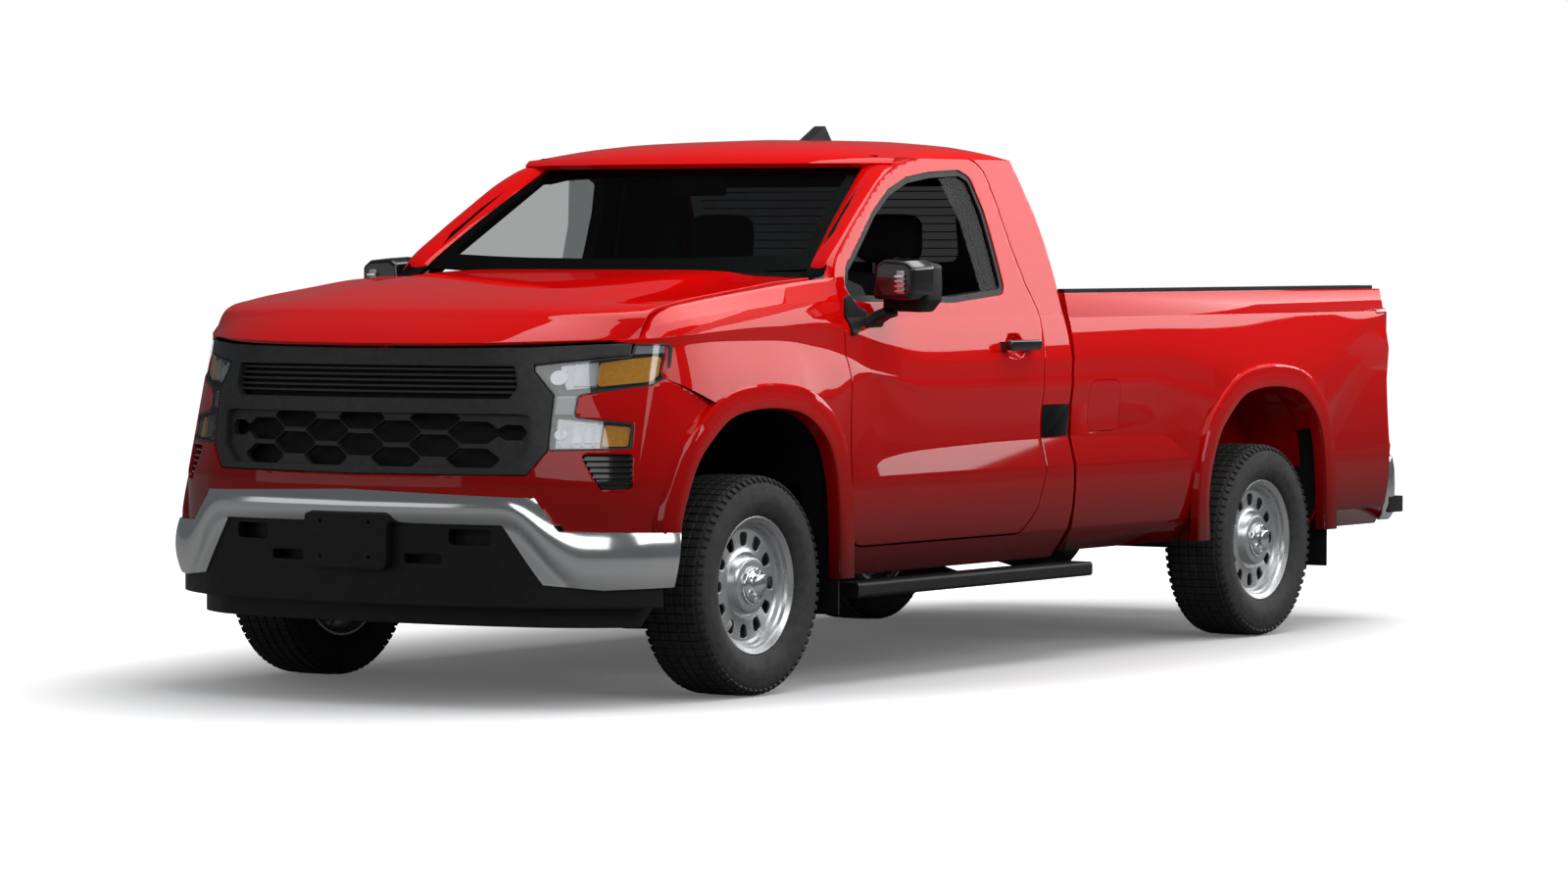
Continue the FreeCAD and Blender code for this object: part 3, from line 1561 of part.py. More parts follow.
def rim():
    """A stamped disc with a ring of slots, welded into a barrel with a flange at each edge."""
    half = rim_width / 2
    flange_top = rim_radius + rim_flange
    edge = [(half, flange_top), (half - rim_wall, flange_top), (half - rim_wall, rim_radius),
              (-half + rim_wall, rim_radius), (-half + rim_wall, flange_top), (-half, flange_top),
              (-half, rim_radius - rim_wall), (half - rim_flange, rim_radius - rim_wall),
              (half, rim_radius)]
    disc = [(disc_face - rim_wall, rim_radius - rim_wall / 2), (disc_face, rim_radius - rim_wall / 2),
            (disc_face + rim_wall, slot_outer + slot_edge), (disc_face + rim_wall + rim_wall,
                                                             slot_inner - slot_edge),
            (disc_face - rim_wall, hub_radius + rim_wall), (disc_face + rim_flange, hub_radius),
            (disc_face + rim_flange, stub_radius / 2), (disc_face - hub_depth, stub_radius / 2),
            (disc_face - hub_depth, hub_radius), (disc_face - rim_wall - rim_wall, hub_radius + rim_wall),
            (disc_face + rim_wall - rim_wall / 2, slot_inner - slot_edge), (disc_face,
                                                                            slot_outer + slot_edge)]
    bore = rod("x", stub_radius + pin_clearance / 3, -rim_width, rim_width, 0, 0)
    wheel = union([turned(edge), turned(disc)]).cut(bore)
    slots = []
    for index in range(slot_count):
        slot = prism("x", ((-slot_half_inner, slot_inner), (slot_half_inner, slot_inner),
                           (slot_half_outer, slot_outer), (-slot_half_outer, slot_outer)),
                     disc_face - cut_over, disc_face + cut_over)
        slot.rotate(vec(0, 0, 0), vec(1, 0, 0), 360 * index / slot_count)
        slots.append(slot)
    return wheel.cut(slots)


def hub_cap():
    """The domed cap with lobes between the wheel nuts."""
    base = disc_face + rim_flange + seat_gap
    cap = barrel(((base, hub_radius), (disc_face + cap_depth * cap_rim_share, hub_radius),
                  (disc_face + cap_depth, hub_radius * cap_face_share)))
    dents = []
    for index in range(cap_lobes):
        dent = prism("x", [(hub_radius + y * cap_dent_radius, z * cap_dent_radius) for y,
                           z in cap_dent_shares],
                     disc_face + cap_depth * cap_rim_share, disc_face + cap_depth + cut_over)
        dent.rotate(vec(0, 0, 0), vec(1, 0, 0), 360 * index / cap_lobes)
        dents.append(dent)
    return cap.cut(dents)


def place_wheel(shape, side, y):
    """Turns a wheel piece to its side of the truck and puts it on its axle."""
    placed = shape if side > 0 else mirrored(shape)
    placed = placed.copy()
    placed.translate(vec(side * wheel_x, y, wheel_z))
    return placed


def knuckle():
    """The left steering knuckle: an upright between two forks, its stub axle, and a steering arm."""
    upright = box(kingpin_x - knuckle_half / 2, kingpin_x + knuckle_half / 2, -knuckle_half, knuckle_half,
                  wheel_z - knuckle_drop, wheel_z + knuckle_rise)
    stub = rod("x", stub_radius, kingpin_x, wheel_x + disc_face + rim_flange / 2, 0, wheel_z)
    flange = barrel(((kingpin_x, hub_radius), (wheel_x + disc_face - hub_depth - seat_gap, hub_radius)))
    disc = barrel(((kingpin_x + knuckle_half / 2, disc_radius),
                   (kingpin_x + knuckle_half / 2 + rim_wall + rim_wall, disc_radius)))
    flange.translate(vec(0, 0, wheel_z))
    disc.translate(vec(0, 0, wheel_z))
    arm = box(kingpin_x - knuckle_half / 2, kingpin_x + knuckle_half / 2, 0, steer_arm_length,
              wheel_z - knuckle_drop, wheel_z - knuckle_drop + arm_wall)
    bores = [rod("z", kingpin_radius + pin_clearance, low, high, kingpin_x, 0)
             for low, high in ((wheel_z - knuckle_drop - cut_over, wheel_z - knuckle_drop + kingpin_grip),
                               (wheel_z + knuckle_rise - kingpin_grip, wheel_z + knuckle_rise + cut_over))]
    return union([upright, stub, flange, disc, arm]).cut(bores)


def control_arm(low, pin_from, pin_to):
    """A wishbone from the frame rail to a ball pin at the knuckle."""
    rail_face = rail_x + rail_width / 2 + seat_gap
    points = ((rail_face, -arm_half_inner), (kingpin_x, -arm_half_outer), (kingpin_x + arm_half_outer, 0),
              (kingpin_x, arm_half_outer), (rail_face, arm_half_inner))
    plate = prism("z", points, low, low + arm_wall, arm_half_outer / 2)
    gap = prism("z", ((rail_face - cut_over, -arm_half_inner + arm_half_outer),
                      (kingpin_x - knuckle_half - knuckle_half, 0),
                      (rail_face - cut_over, arm_half_inner - arm_half_outer)),
                low - cut_over, low + arm_wall + cut_over)
    pin = rod("z", kingpin_radius, pin_from, pin_to, kingpin_x, 0)
    return union([plate.cut(gap), pin])


def front_suspension():
    bottom = wheel_z - knuckle_drop
    top = wheel_z + knuckle_rise
    lower = control_arm(bottom - seat_gap - arm_wall, bottom - arm_wall, bottom + kingpin_grip - seat_gap)
    upper = control_arm(top + seat_gap, top - kingpin_grip + seat_gap, top + arm_wall)
    pieces = [lower, upper]
    tower_x = rail_x + rail_width / 2 + seat_gap
    tower = box(tower_x, tower_x + arm_wall, -arm_half_inner, arm_half_inner, bottom - arm_wall,
                top + arm_wall)
    window = box(tower_x - cut_over, tower_x + arm_wall + cut_over, -arm_half_inner + arm_wall,
                 arm_half_inner - arm_wall, bottom + arm_wall, top - arm_wall)
    return union([tower.cut(window)] + pieces)


def rear_axle():
    y = wheelbase
    reach = wheel_x + disc_face - hub_depth - seat_gap
    tube = rod("x", axle_tube_radius, -reach, reach, y, wheel_z)
    ends = wheel_x + disc_face + rim_flange / 2
    stub = rod("x", stub_radius, -ends, ends, y, wheel_z)
    shoulder = diff_radius * cap_face_share
    diff = barrel(((-diff_half_width, shoulder), (-diff_half_width / 2, diff_radius),
                   (diff_half_width / 2, diff_radius), (diff_half_width, shoulder)))
    diff.translate(vec(0, y, wheel_z))
    nose = rod("y", diff_radius / 2, y - diff_radius - cut_over, y, 0, wheel_z)
    drum = barrel(((reach - drum_width, drum_radius), (reach, drum_radius)))
    drum.translate(vec(0, y, wheel_z))
    drums = [drum, mirrored(drum)]
    pads = [box(side * spring_x - spring_half_width, side * spring_x + spring_half_width,
                y - axle_tube_radius,
                y + axle_tube_radius, wheel_z, wheel_z + spring_pad_height) for side in (1, -1)]
    return union([tube, stub, diff, nose] + drums + pads)


def leaf_springs():
    """Left leaf pack: a bowed band seated on the axle's pad, hung from the frame at both ends."""
    low = wheel_z + spring_pad_height + seat_gap
    ends_z = low + spring_arch
    middle = wheelbase

    def bow(lift):
        return Part.Arc(vec(0, spring_front_y, ends_z + lift), vec(0, middle, low + lift),
                        vec(0, spring_rear_y, ends_z + lift)).toShape()

    lower = bow(0)
    upper = bow(spring_wall)
    ends = [Part.makeLine(lower.Vertexes[n].Point, upper.Vertexes[n].Point) for n in (0, 1)]
    band = Part.Face(Part.Wire([lower, ends[1], upper, ends[0]])).extrude(vec(spring_half_width * 2, 0, 0))
    band.translate(vec(spring_x - spring_half_width, 0, 0))
    inner = rail_x + rail_width / 2 + seat_gap
    hangers = [box(inner, spring_x + spring_half_width, y - spring_wall, y + spring_wall, ends_z,
                   ends_z + spring_arch) for y in (spring_front_y + spring_wall,
                                                   spring_rear_y - spring_wall)]
    return union([band] + hangers)


def rail_line(offset):
    """The frame rail's lower or upper edge in side view, with the kick up over the rear axle."""
    return [(rail_front_y, rail_z + offset), (kick_start_y, rail_z + offset),
            (kick_end_y, rail_z + rail_rise + offset), (rail_rear_y, rail_z + rail_rise + offset)]


def frame_rail():
    half = rail_height / 2
    points = rail_line(-half) + rail_line(half)[::-1]
    whole = prism("x", points, rail_x - rail_width / 2, rail_x + rail_width / 2)
    pocket_points = rail_line(-half + rail_wall) + rail_line(half - rail_wall)[::-1]
    pocket = prism("x", pocket_points, rail_x - rail_width / 2 - cut_over,
                   rail_x + rail_width / 2 - rail_wall)
    return whole.cut(pocket)


def crossmembers():
    pieces = []
    reach = rail_x + rail_width / 2 - rail_wall - seat_gap
    for y, z, deep in cross_places:
        pieces.append(box(-reach, reach, y - cross_half_width, y + cross_half_width, z - deep / 2,
                          z + deep / 2))
    return Part.makeCompound(pieces)


def engine():
    return box(-engine_half, engine_half, engine_front_y, engine_rear_y, engine_low_z, engine_high_z)


def gearbox():
    return box(-gearbox_half, gearbox_half, engine_rear_y + seat_gap, gearbox_rear_y, gearbox_low_z,
               gearbox_high_z)


def propshaft(ends):
    start = vec(0, gearbox_rear_y, shaft_z)
    end = vec(0, wheelbase - diff_radius - cut_over, wheel_z)
    along = end - start
    return main_solid(Part.makeCylinder(shaft_radius, along.Length, start, along).cut(ends))


def radiator():
    return box(-radiator_half, radiator_half, radiator_y, radiator_y + radiator_wall, radiator_low_z,
               radiator_high_z)


def fuel_tank():
    reach = rail_x - rail_width / 2 - seat_gap
    return box(tank_inner_x, reach, tank_front_y, tank_rear_y, tank_low_z, tank_high_z)


def exhaust():
    front = engine_rear_y + seat_gap
    pipe = rod("y", pipe_radius, front - cut_over, muffler_front_y + cut_over, pipe_x, pipe_z)
    riser = rod("z", pipe_radius, pipe_z, engine_low_z - seat_gap, pipe_x, front - cut_over)
    body = box(pipe_x - muffler_half, pipe_x + muffler_half, muffler_front_y,
               muffler_front_y + muffler_length,
               pipe_z - muffler_height / 2, pipe_z + muffler_height / 2)
    return union([pipe, riser, body])


def spare_wheel():
    round_points = [(at.y, spare_y + at.z) for at in ring_points(0, spare_radius)]
    dish_points = [(at.y, spare_y + at.z) for at in ring_points(0, spare_radius * rim_groove_share / 2)]
    ring = prism("z", round_points, spare_low_z, spare_low_z + spare_wall)
    dish = prism("z", dish_points, spare_low_z - seat_gap, spare_low_z + spare_wall / 2)
    post = rod("z", spare_post_radius, spare_low_z + spare_wall / 2,
               bed_floor_z - bed_floor_wall - seat_gap, 0, spare_y)
    return union([ring.cut(dish), post])


def side_step():
    """The left step bar under the rocker, on brackets from the frame."""
    bar = prism("y", ((step_inner_x, step_low_z), (step_outer_x, step_low_z), (step_outer_x, step_high_z),
                      (step_inner_x, step_high_z)), step_front_y, step_rear_y, step_wall / 2)
    inner = rail_x + rail_width / 2 + seat_gap
    brackets = [prism("y", ((inner, rail_z - rail_height / 2 + skin), (inner, rail_z),
                            (step_inner_x + step_wall, step_high_z), (step_inner_x + step_wall,
                                                                      step_low_z)),
                      y - step_bracket_half, y + step_bracket_half) for y in step_bracket_places]
    return union([bar] + brackets)


def wheel_liner(others):
    """The left front wheelhouse: a shell inside the fender, with the flap behind the wheel."""
    outer = arch_cutter(front_arch_y, liner_wall + liner_wall, liner_inner_x,
                        hinge_x - hinge_eye_radius - panel_gap)
    inner = arch_cutter(front_arch_y, liner_wall, liner_inner_x - cut_over, side_far_x)
    low = box(0, side_far_x, -wheelbase / 4, wheelbase / 4, 0, height(side_section_shares[1][0]))
    return main_solid(outer.cut([inner, low]).cut(others))


def mud_flaps(others):
    """The left flaps behind the front and the rear wheel."""
    flaps = []
    for y in (front_flap_y, rear_flap_y):
        flap = box(flap_inner_x, flap_outer_x, y, y + flap_wall, front_flap_low_z, front_flap_high_z)
        flaps.append(main_solid(flap.cut(others)))
    return Part.makeCompound(flaps)


def dashboard():
    points = [(dash_front_y + y * dash_depth, dash_low_z + z * (dash_height - dash_low_z)) for y,
              z in dash_shares]
    board = prism("x", points, -dash_half, dash_half, lamp_corner)
    inside = inside_cab(door_wall + panel_gap + ring_wall + seat_gap, 0,
                        dash_front_y + dash_depth + cut_over)
    post = column_axis()
    socket = Part.makeCylinder(column_radius + pin_clearance / 3, column_length + cut_over,
                               wheel_centre(), post)
    sleeve = Part.makeCylinder(column_radius + column_radius / 2, column_length,
                               wheel_centre() + post * (column_length / 2), post)
    return union([board.common(inside), sleeve]).cut(socket)


def column_axis():
    return vec(0, -1, -wheel_lean_share).normalize()


def wheel_centre():
    return vec(wheel_place_x, wheel_place_y, wheel_place_z)


def steering_wheel():
    post = column_axis()
    section = [(wheel_grip_radius * math.sin(turn), wheel_ring_radius + wheel_grip_radius * math.cos(turn))
               for turn in (math.pi * (n + 1 / 2) / 4 for n in range(8))]
    ring = turned(section)
    ring.Placement = FreeCAD.Placement(wheel_centre(), FreeCAD.Rotation(vec(1, 0, 0), post))
    hub = Part.makeCylinder(column_radius + column_radius, column_radius, wheel_centre(), post)
    shaft = Part.makeCylinder(column_radius, column_length, wheel_centre(), post)
    spokes = []
    for angle in (0, 180, 270):
        spoke = box(wheel_place_x, wheel_place_x + wheel_ring_radius, wheel_place_y - wheel_grip_radius / 2,
                    wheel_place_y + wheel_grip_radius / 2, wheel_place_z - wheel_grip_radius,
                    wheel_place_z + wheel_grip_radius)
        spoke.rotate(wheel_centre(), vec(0, 1, 0), angle)
        spoke.rotate(wheel_centre(), vec(1, 0, 0), math.degrees(math.atan(wheel_lean_share)))
        spokes.append(spoke)
    return union([ring, hub, shaft] + spokes)


def seat():
    """The bench seat: a raised cushion, a leaning back and three head restraints."""
    front = seat_front_y
    points = ((front, seat_top_z - cushion_depth), (front, seat_top_z),
              (seat_rear_y - seat_lean - seat_back_wall, seat_top_z - cut_over),
              (seat_rear_y - seat_back_wall, seat_back_z), (seat_rear_y, seat_back_z),
              (seat_rear_y - seat_lean, seat_top_z - cushion_depth))
    bench = prism("x", points, -seat_half, seat_half, lamp_corner + lamp_corner)
    base = box(-seat_half + head_half, seat_half - head_half, front + cut_over + cut_over,
               seat_rear_y - seat_lean - cut_over - cut_over, cab_floor_z + seat_gap,
               seat_top_z - cushion_depth + cut_over)
    tunnel = box(-tunnel_half - seat_gap, tunnel_half + seat_gap, firewall_y, cab_rear_y, cab_floor_z,
                 cab_floor_z + tunnel_height + seat_gap)
    pieces = [bench, base.cut(tunnel)]
    for x in (-head_x, head_x):
        rest = prism("y", ((x - head_half, head_low_z), (x + head_half, head_low_z),
                           (x + head_half, head_high_z), (x - head_half, head_high_z)),
                     seat_rear_y - seat_back_wall + door_step,
                     seat_rear_y - seat_back_wall + door_step + head_wall,
                     window_corner)
        pieces.append(rest)
        pieces.append(box(x - column_radius, x + column_radius,
                          seat_rear_y - seat_back_wall / 2 - flap_wall,
                          seat_rear_y - seat_back_wall / 2 + flap_wall, seat_back_z - cut_over,
                          head_low_z + cut_over))
    return union(pieces)


def door_fittings():
    """The left door's mirror on its arm, and the pull handle."""
    housing = prism("y", ((mirror_inner_x, mirror_low_z), (mirror_half_width, mirror_low_z),
                          (mirror_half_width, mirror_high_z), (mirror_inner_x, mirror_high_z)),
                    mirror_front_y, mirror_rear_y, mirror_corner)
    face = prism("y", ((mirror_inner_x, mirror_low_z), (mirror_half_width, mirror_low_z),
                       (mirror_half_width, mirror_high_z), (mirror_inner_x, mirror_high_z)),
                 mirror_rear_y - door_step, mirror_rear_y + cut_over, mirror_corner, -mirror_arm_wall / 4)
    foot_z = mirror_foot_z + mirror_arm_wall
    arm = prism("y", ((side_x_low(mirror_foot_z) + seat_gap, mirror_foot_z),
                      (side_x_low(mirror_foot_z) + cut_over, mirror_foot_z + skin),
                      (mirror_inner_x + mirror_arm_wall, mirror_low_z + skin),
                      (mirror_inner_x, mirror_low_z + cut_over),
                      (side_x(foot_z) + seat_gap, foot_z + cut_over)),
                mirror_foot_y + cut_over, mirror_foot_y + mirror_foot_length + cut_over)
    slab = side_slab(0, door_wall, "cab", mirror_foot_y, mirror_foot_y + mirror_foot_length + cut_over)
    mirror = union([housing.cut(face), arm]).cut(slab)
    rear = handle_front_y + handle_length
    skin_x = side_x_low(handle_z)
    grip = prism("z", ((skin_x + handle_stand, handle_front_y), (skin_x + handle_stand, rear),
                       (skin_x, rear + handle_wall), (skin_x, rear - handle_wall),
                       (skin_x + handle_stand - handle_wall, rear - handle_wall - handle_wall),
                       (skin_x + handle_stand - handle_wall, handle_front_y + handle_wall + handle_wall),
                       (skin_x, handle_front_y + handle_wall), (skin_x, handle_front_y - handle_wall)),
                 handle_z - handle_height / 2, handle_z + handle_height / 2)
    skin_slab = side_slab(-seat_gap, door_wall, "cab", handle_front_y - cut_over, rear + cut_over)
    return Part.makeCompound([mirror, grip.cut(skin_slab)])


def antenna(roof_panel):
    """The shark-fin aerial on the roof's centre line."""
    base_z = height(2) + panel_gap + panel_wall + roof_crown
    points = ((antenna_y, base_z - cut_over / 2), (antenna_y, base_z - cut_over / 4),
              (antenna_y + antenna_length * 0.7, base_z + antenna_height), (antenna_y + antenna_length,
                                                                            base_z - cut_over / 4),
              (antenna_y + antenna_length, base_z - cut_over / 2))
    return main_solid(prism("x", points, -antenna_half, antenna_half).cut(roof_panel))


def build():
    left_door = door()
    save("door_left", left_door)
    save("door_right", mirrored(left_door))
    roof_panel = roof()
    left_side = cab_side(roof_panel)
    cab_sides = both(left_side)
    save("cab_sides", cab_sides)
    pane = door_glass()
    save("door_glass_left", pane)
    save("door_glass_right", mirrored(pane))
    save("roof", roof_panel)
    save("windscreen", screen())
    save("cab_back", main_solid(cab_back().cut(cab_sides)))
    save("rear_window", rear_window())
    save("cab_floor", main_solid(cab_floor().cut(cab_sides)))
    trough = main_solid(cowl().cut(cab_sides))
    save("cowl", trough)
    save("hood_hinges", both(hood_hinge()))
    save("hood", hood())
    left_fender = fender()
    fenders = both(left_fender)
    save("fenders", fenders)
    fascia = front_fascia(fenders)
    save("front_fascia", fascia)
    save("grille", main_solid(grille()))
    lamp = main_solid(headlamp().cut(left_fender))
    save("headlamps", both(lamp))
    bar = front_bumper()
    save("front_bumper", bar)
    apron = valance()
    save("valance", apron)
    save("plate_bracket", plate_bracket([bar, apron]))
    side = bed_side()
    left_bed = union([side, fuel_pin(), gate_pin()])
    right_bed = union([bed_side_plain(), gate_pin()])
    save("bed_sides", Part.makeCompound([left_bed, mirrored(right_bed)]))
    save("fuel_door", fuel_door())
    save("bed_floor", bed_floor())
    save("bed_rail_caps", both(bed_rail_cap()))
    save("tailgate", tailgate())
    save("taillamps", both(taillamp()))
    save("rear_bumper", rear_bumper())
    one_tyre = tyre()
    one_rim = union([rim(), hub_cap()])
    for name, side, y in (("front_left", 1, 0), ("front_right", -1, 0),
                          ("rear_left", 1, wheelbase), ("rear_right", -1, wheelbase)):
        save("tyre_" + name, place_wheel(one_tyre, side, y))
        save("rim_" + name, place_wheel(one_rim, side, y))
    left_knuckle = knuckle()
    save("knuckle_left", left_knuckle)
    save("knuckle_right", mirrored(left_knuckle))
    save("front_suspension", both(front_suspension()))
    axle = rear_axle()
    save("rear_axle", axle)
    save("leaf_springs", both(leaf_springs()))
    save("frame_rails", both(frame_rail()))
    save("frame_crossmembers", crossmembers())
    save("engine", engine())
    drive = gearbox()
    save("gearbox", drive)
    save("propshaft", propshaft([drive, axle]))
    save("radiator", radiator())
    save("fuel_tank", fuel_tank())
    save("exhaust", exhaust())
    save("spare_wheel", spare_wheel())
    save("side_steps", both(side_step()))
    liner = wheel_liner([left_side, left_fender, fascia, bar, lamp])
    save("wheel_liners", both(liner))
    save("mud_flaps", both(mud_flaps([left_side, left_fender, left_bed, liner])))
    save("dashboard", main_solid(dashboard().cut([cab_sides, trough])))
    save("steering_wheel", steering_wheel())
    save("seat", seat())
    fittings = door_fittings()
    save("door_fittings_left", fittings)
    save("door_fittings_right", mirrored(fittings))
    save("antenna", antenna(roof_panel))


build()
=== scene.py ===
import bpy
import math
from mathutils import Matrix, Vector


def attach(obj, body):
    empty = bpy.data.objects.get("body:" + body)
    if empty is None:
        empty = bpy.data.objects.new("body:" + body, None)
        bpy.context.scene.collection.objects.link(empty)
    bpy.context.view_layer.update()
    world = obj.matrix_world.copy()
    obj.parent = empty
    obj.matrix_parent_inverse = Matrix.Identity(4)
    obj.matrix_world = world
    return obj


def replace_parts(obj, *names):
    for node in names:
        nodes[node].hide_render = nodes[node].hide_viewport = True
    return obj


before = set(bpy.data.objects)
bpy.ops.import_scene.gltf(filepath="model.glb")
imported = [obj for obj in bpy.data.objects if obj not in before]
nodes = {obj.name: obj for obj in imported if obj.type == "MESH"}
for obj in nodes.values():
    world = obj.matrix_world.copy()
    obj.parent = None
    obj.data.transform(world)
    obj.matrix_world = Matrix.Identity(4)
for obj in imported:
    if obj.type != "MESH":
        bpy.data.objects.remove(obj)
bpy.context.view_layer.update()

# Metres. Places along the truck are counted from the front axle, and this moves them to the frame's origin.
AXLE_Y = -1.920


# ---------------------------------------------------------------- camera, floor and light

CAMERA_PLACE = (11.4474, -15.8122 + AXLE_Y, 1.5109)
CAMERA_AZIMUTH = 33.238
CAMERA_FALL = 1.974
SENSOR_WIDTH = 36.0
LENS = 130.08
SIGHT_END = 200.0

FLOOR_SIZE = 160.0
FLOOR_PALE = (0.66, 0.66, 0.67, 1)
FLOOR_DIM = (0.10, 0.10, 0.10, 1)
SHADOW_HALF_WIDTH = 1.6
SHADOW_HALF_LENGTH = 3.1
SHADOW_KEPT = (0.80, 1.6)
FLOOR_GLOW = (0.10, 1.0)
MIRRORED_GLOW = 0.16
SKY = (0.90, 0.95, 1.0, 1)
SKY_STRENGTH = 0.12
WHITE = (1, 1, 1, 1)


def make_camera():
    azimuth = math.radians(CAMERA_AZIMUTH)
    fall = math.radians(CAMERA_FALL)
    bpy.ops.object.camera_add(location=CAMERA_PLACE)
    camera = bpy.context.active_object
    look = Vector((-math.sin(azimuth) * math.cos(fall), math.cos(azimuth) * math.cos(fall), -math.sin(fall)))
    camera.rotation_euler = look.to_track_quat("-Z", "Y").to_euler()
    camera.data.sensor_width = SENSOR_WIDTH
    camera.data.lens = LENS
    camera.data.clip_end = SIGHT_END
    bpy.context.scene.camera = camera


def area_light(name, place, aim, width, length, watts):
    bpy.ops.object.light_add(type="AREA", location=place)
    lamp = bpy.context.active_object
    lamp.name = name
    lamp.data.shape = "RECTANGLE"
    lamp.data.size = width
    lamp.data.size_y = length
    lamp.data.energy = watts
    lamp.rotation_euler = (Vector(aim) - Vector(place)).to_track_quat("-Z", "Y").to_euler()


def fill_socket(tree, socket, value):
    if isinstance(value, bpy.types.NodeSocket):
        tree.links.new(value, socket)
    else:
        socket.default_value = value


def node(tree, kind, *values, **settings):
    """A shader node. Values and other nodes' outputs go to its inputs, by order or by name."""
    made = tree.nodes.new(kind)
    for key, value in settings.items():
        if key in made.inputs:
            fill_socket(tree, made.inputs[key], value)
        else:
            setattr(made, key, value)
    for socket, value in zip(made.inputs, values):
        fill_socket(tree, socket, value)
    return made


def worked_out(tree, operation, *values):
    return node(tree, "ShaderNodeMath", *values, operation=operation).outputs[0]


def own_place(tree):
    """Where a point lies on its piece."""
    return node(tree, "ShaderNodeTexCoord").outputs["Object"]


def blank(name):
    material = bpy.data.materials.new(name)
    material.use_nodes = True
    tree = material.node_tree
    tree.nodes.clear()
    out = tree.nodes.new("ShaderNodeOutputMaterial")
    return material, tree, out.inputs["Surface"]


def sight(tree):
    """1 for what is seen directly or through glass, less for what metal shows, 0 for the light on things."""
    path = node(tree, "ShaderNodeLightPath").outputs
    mirror = worked_out(tree, "MULTIPLY", path["Is Glossy Ray"], MIRRORED_GLOW)
    seen = worked_out(tree, "MAXIMUM", path["Is Camera Ray"], mirror)
    return worked_out(tree, "MAXIMUM", seen, path["Is Transmission Ray"])


def make_floor():
    """A floor that keeps the truck's shadow near it and goes to plain white further out.

    The light that it throws back on the truck is that of a darker floor.
    """
    material, tree, surface = blank("studio_floor")
    scale = (1 / SHADOW_HALF_WIDTH, 1 / SHADOW_HALF_LENGTH, 1)
    spot = node(tree, "ShaderNodeMapping", own_place(tree), Scale=scale).outputs[0]
    length = node(tree, "ShaderNodeVectorMath", spot, operation="LENGTH").outputs["Value"]
    fade = node(tree, "ShaderNodeMapRange", interpolation_type="SMOOTHSTEP", Value=length,
                **{"From Min": SHADOW_KEPT[0], "From Max": SHADOW_KEPT[1], "To Min": FLOOR_GLOW[0],
                   "To Max": FLOOR_GLOW[1]}).outputs[0]
    glow = node(tree, "ShaderNodeEmission", WHITE, worked_out(tree, "MULTIPLY", sight(tree), fade)).outputs[0]
    pale = node(tree, "ShaderNodeBsdfDiffuse", FLOOR_PALE).outputs[0]
    dim = node(tree, "ShaderNodeBsdfDiffuse", FLOOR_DIM).outputs[0]
    shown = node(tree, "ShaderNodeAddShader", pale, glow).outputs[0]
    felt = node(tree, "ShaderNodeAddShader", dim, glow).outputs[0]
    path = node(tree, "ShaderNodeLightPath").outputs
    direct = worked_out(tree, "MAXIMUM", path["Is Camera Ray"], path["Is Transmission Ray"])
    tree.links.new(node(tree, "ShaderNodeMixShader", direct, felt, shown).outputs[0], surface)
    bpy.ops.mesh.primitive_plane_add(size=FLOOR_SIZE, location=(0, 0, 0))
    floor = bpy.context.active_object
    floor.name = "studio_floor"
    floor.data.materials.append(material)


def make_world():
    world = bpy.data.worlds.new("studio")
    bpy.context.scene.world = world
    world.use_nodes = True
    tree = world.node_tree
    tree.nodes.clear()
    out = tree.nodes.new("ShaderNodeOutputWorld")
    soft = node(tree, "ShaderNodeBackground", SKY, SKY_STRENGTH).outputs[0]
    white = node(tree, "ShaderNodeBackground", WHITE, 1.0).outputs[0]
    camera_sees = node(tree, "ShaderNodeLightPath").outputs["Is Camera Ray"]
    tree.links.new(node(tree, "ShaderNodeMixShader", camera_sees, soft, white).outputs[0], out.inputs["Surface"])


# ---------------------------------------------------------------- materials

COAT_ROUGHNESS = 0.03
TINT_EDGES = (0.3, 0.7)
# Painted shade: the paint's colour is darkened from the shoulder down to the sills, to 0.12 of itself there.
SILL_Z = 0.38
SHOULDER_Z = 1.12
PAINTED_SILL_SHADE = 0.12
# The cab's side leans in above the belt: this plane lies just inside its skin
BELT_Z = 1.1
CAB_LEAN = 0.2996
SKIN_REACH = 1.3317


def object_noise(tree, scale, detail):
    return node(tree, "ShaderNodeTexNoise", own_place(tree), Scale=scale, Detail=detail).outputs["Fac"]


def painted_sill_shade(tree):
    """Painted shade: 1 above the shoulder, and less towards the sills, darkening the paint low on the body."""
    height = node(tree, "ShaderNodeSeparateXYZ", own_place(tree)).outputs["Z"]
    return node(tree, "ShaderNodeMapRange", Value=height,
                **{"From Min": SILL_Z, "From Max": SHOULDER_Z, "To Min": PAINTED_SILL_SHADE}).outputs[0]


def cab_shade(tree):
    """Painted shade as on the other panels outside, and 0 on what faces the cabin."""
    place = node(tree, "ShaderNodeSeparateXYZ", own_place(tree)).outputs
    side = worked_out(tree, "ABSOLUTE", place["X"])
    height = worked_out(tree, "MAXIMUM", place["Z"], BELT_Z)
    outside = worked_out(tree, "GREATER_THAN", worked_out(tree, "MULTIPLY_ADD", height, CAB_LEAN, side), SKIN_REACH)
    return worked_out(tree, "MULTIPLY", painted_sill_shade(tree), outside)


def grey(level):
    return (level, level, level)


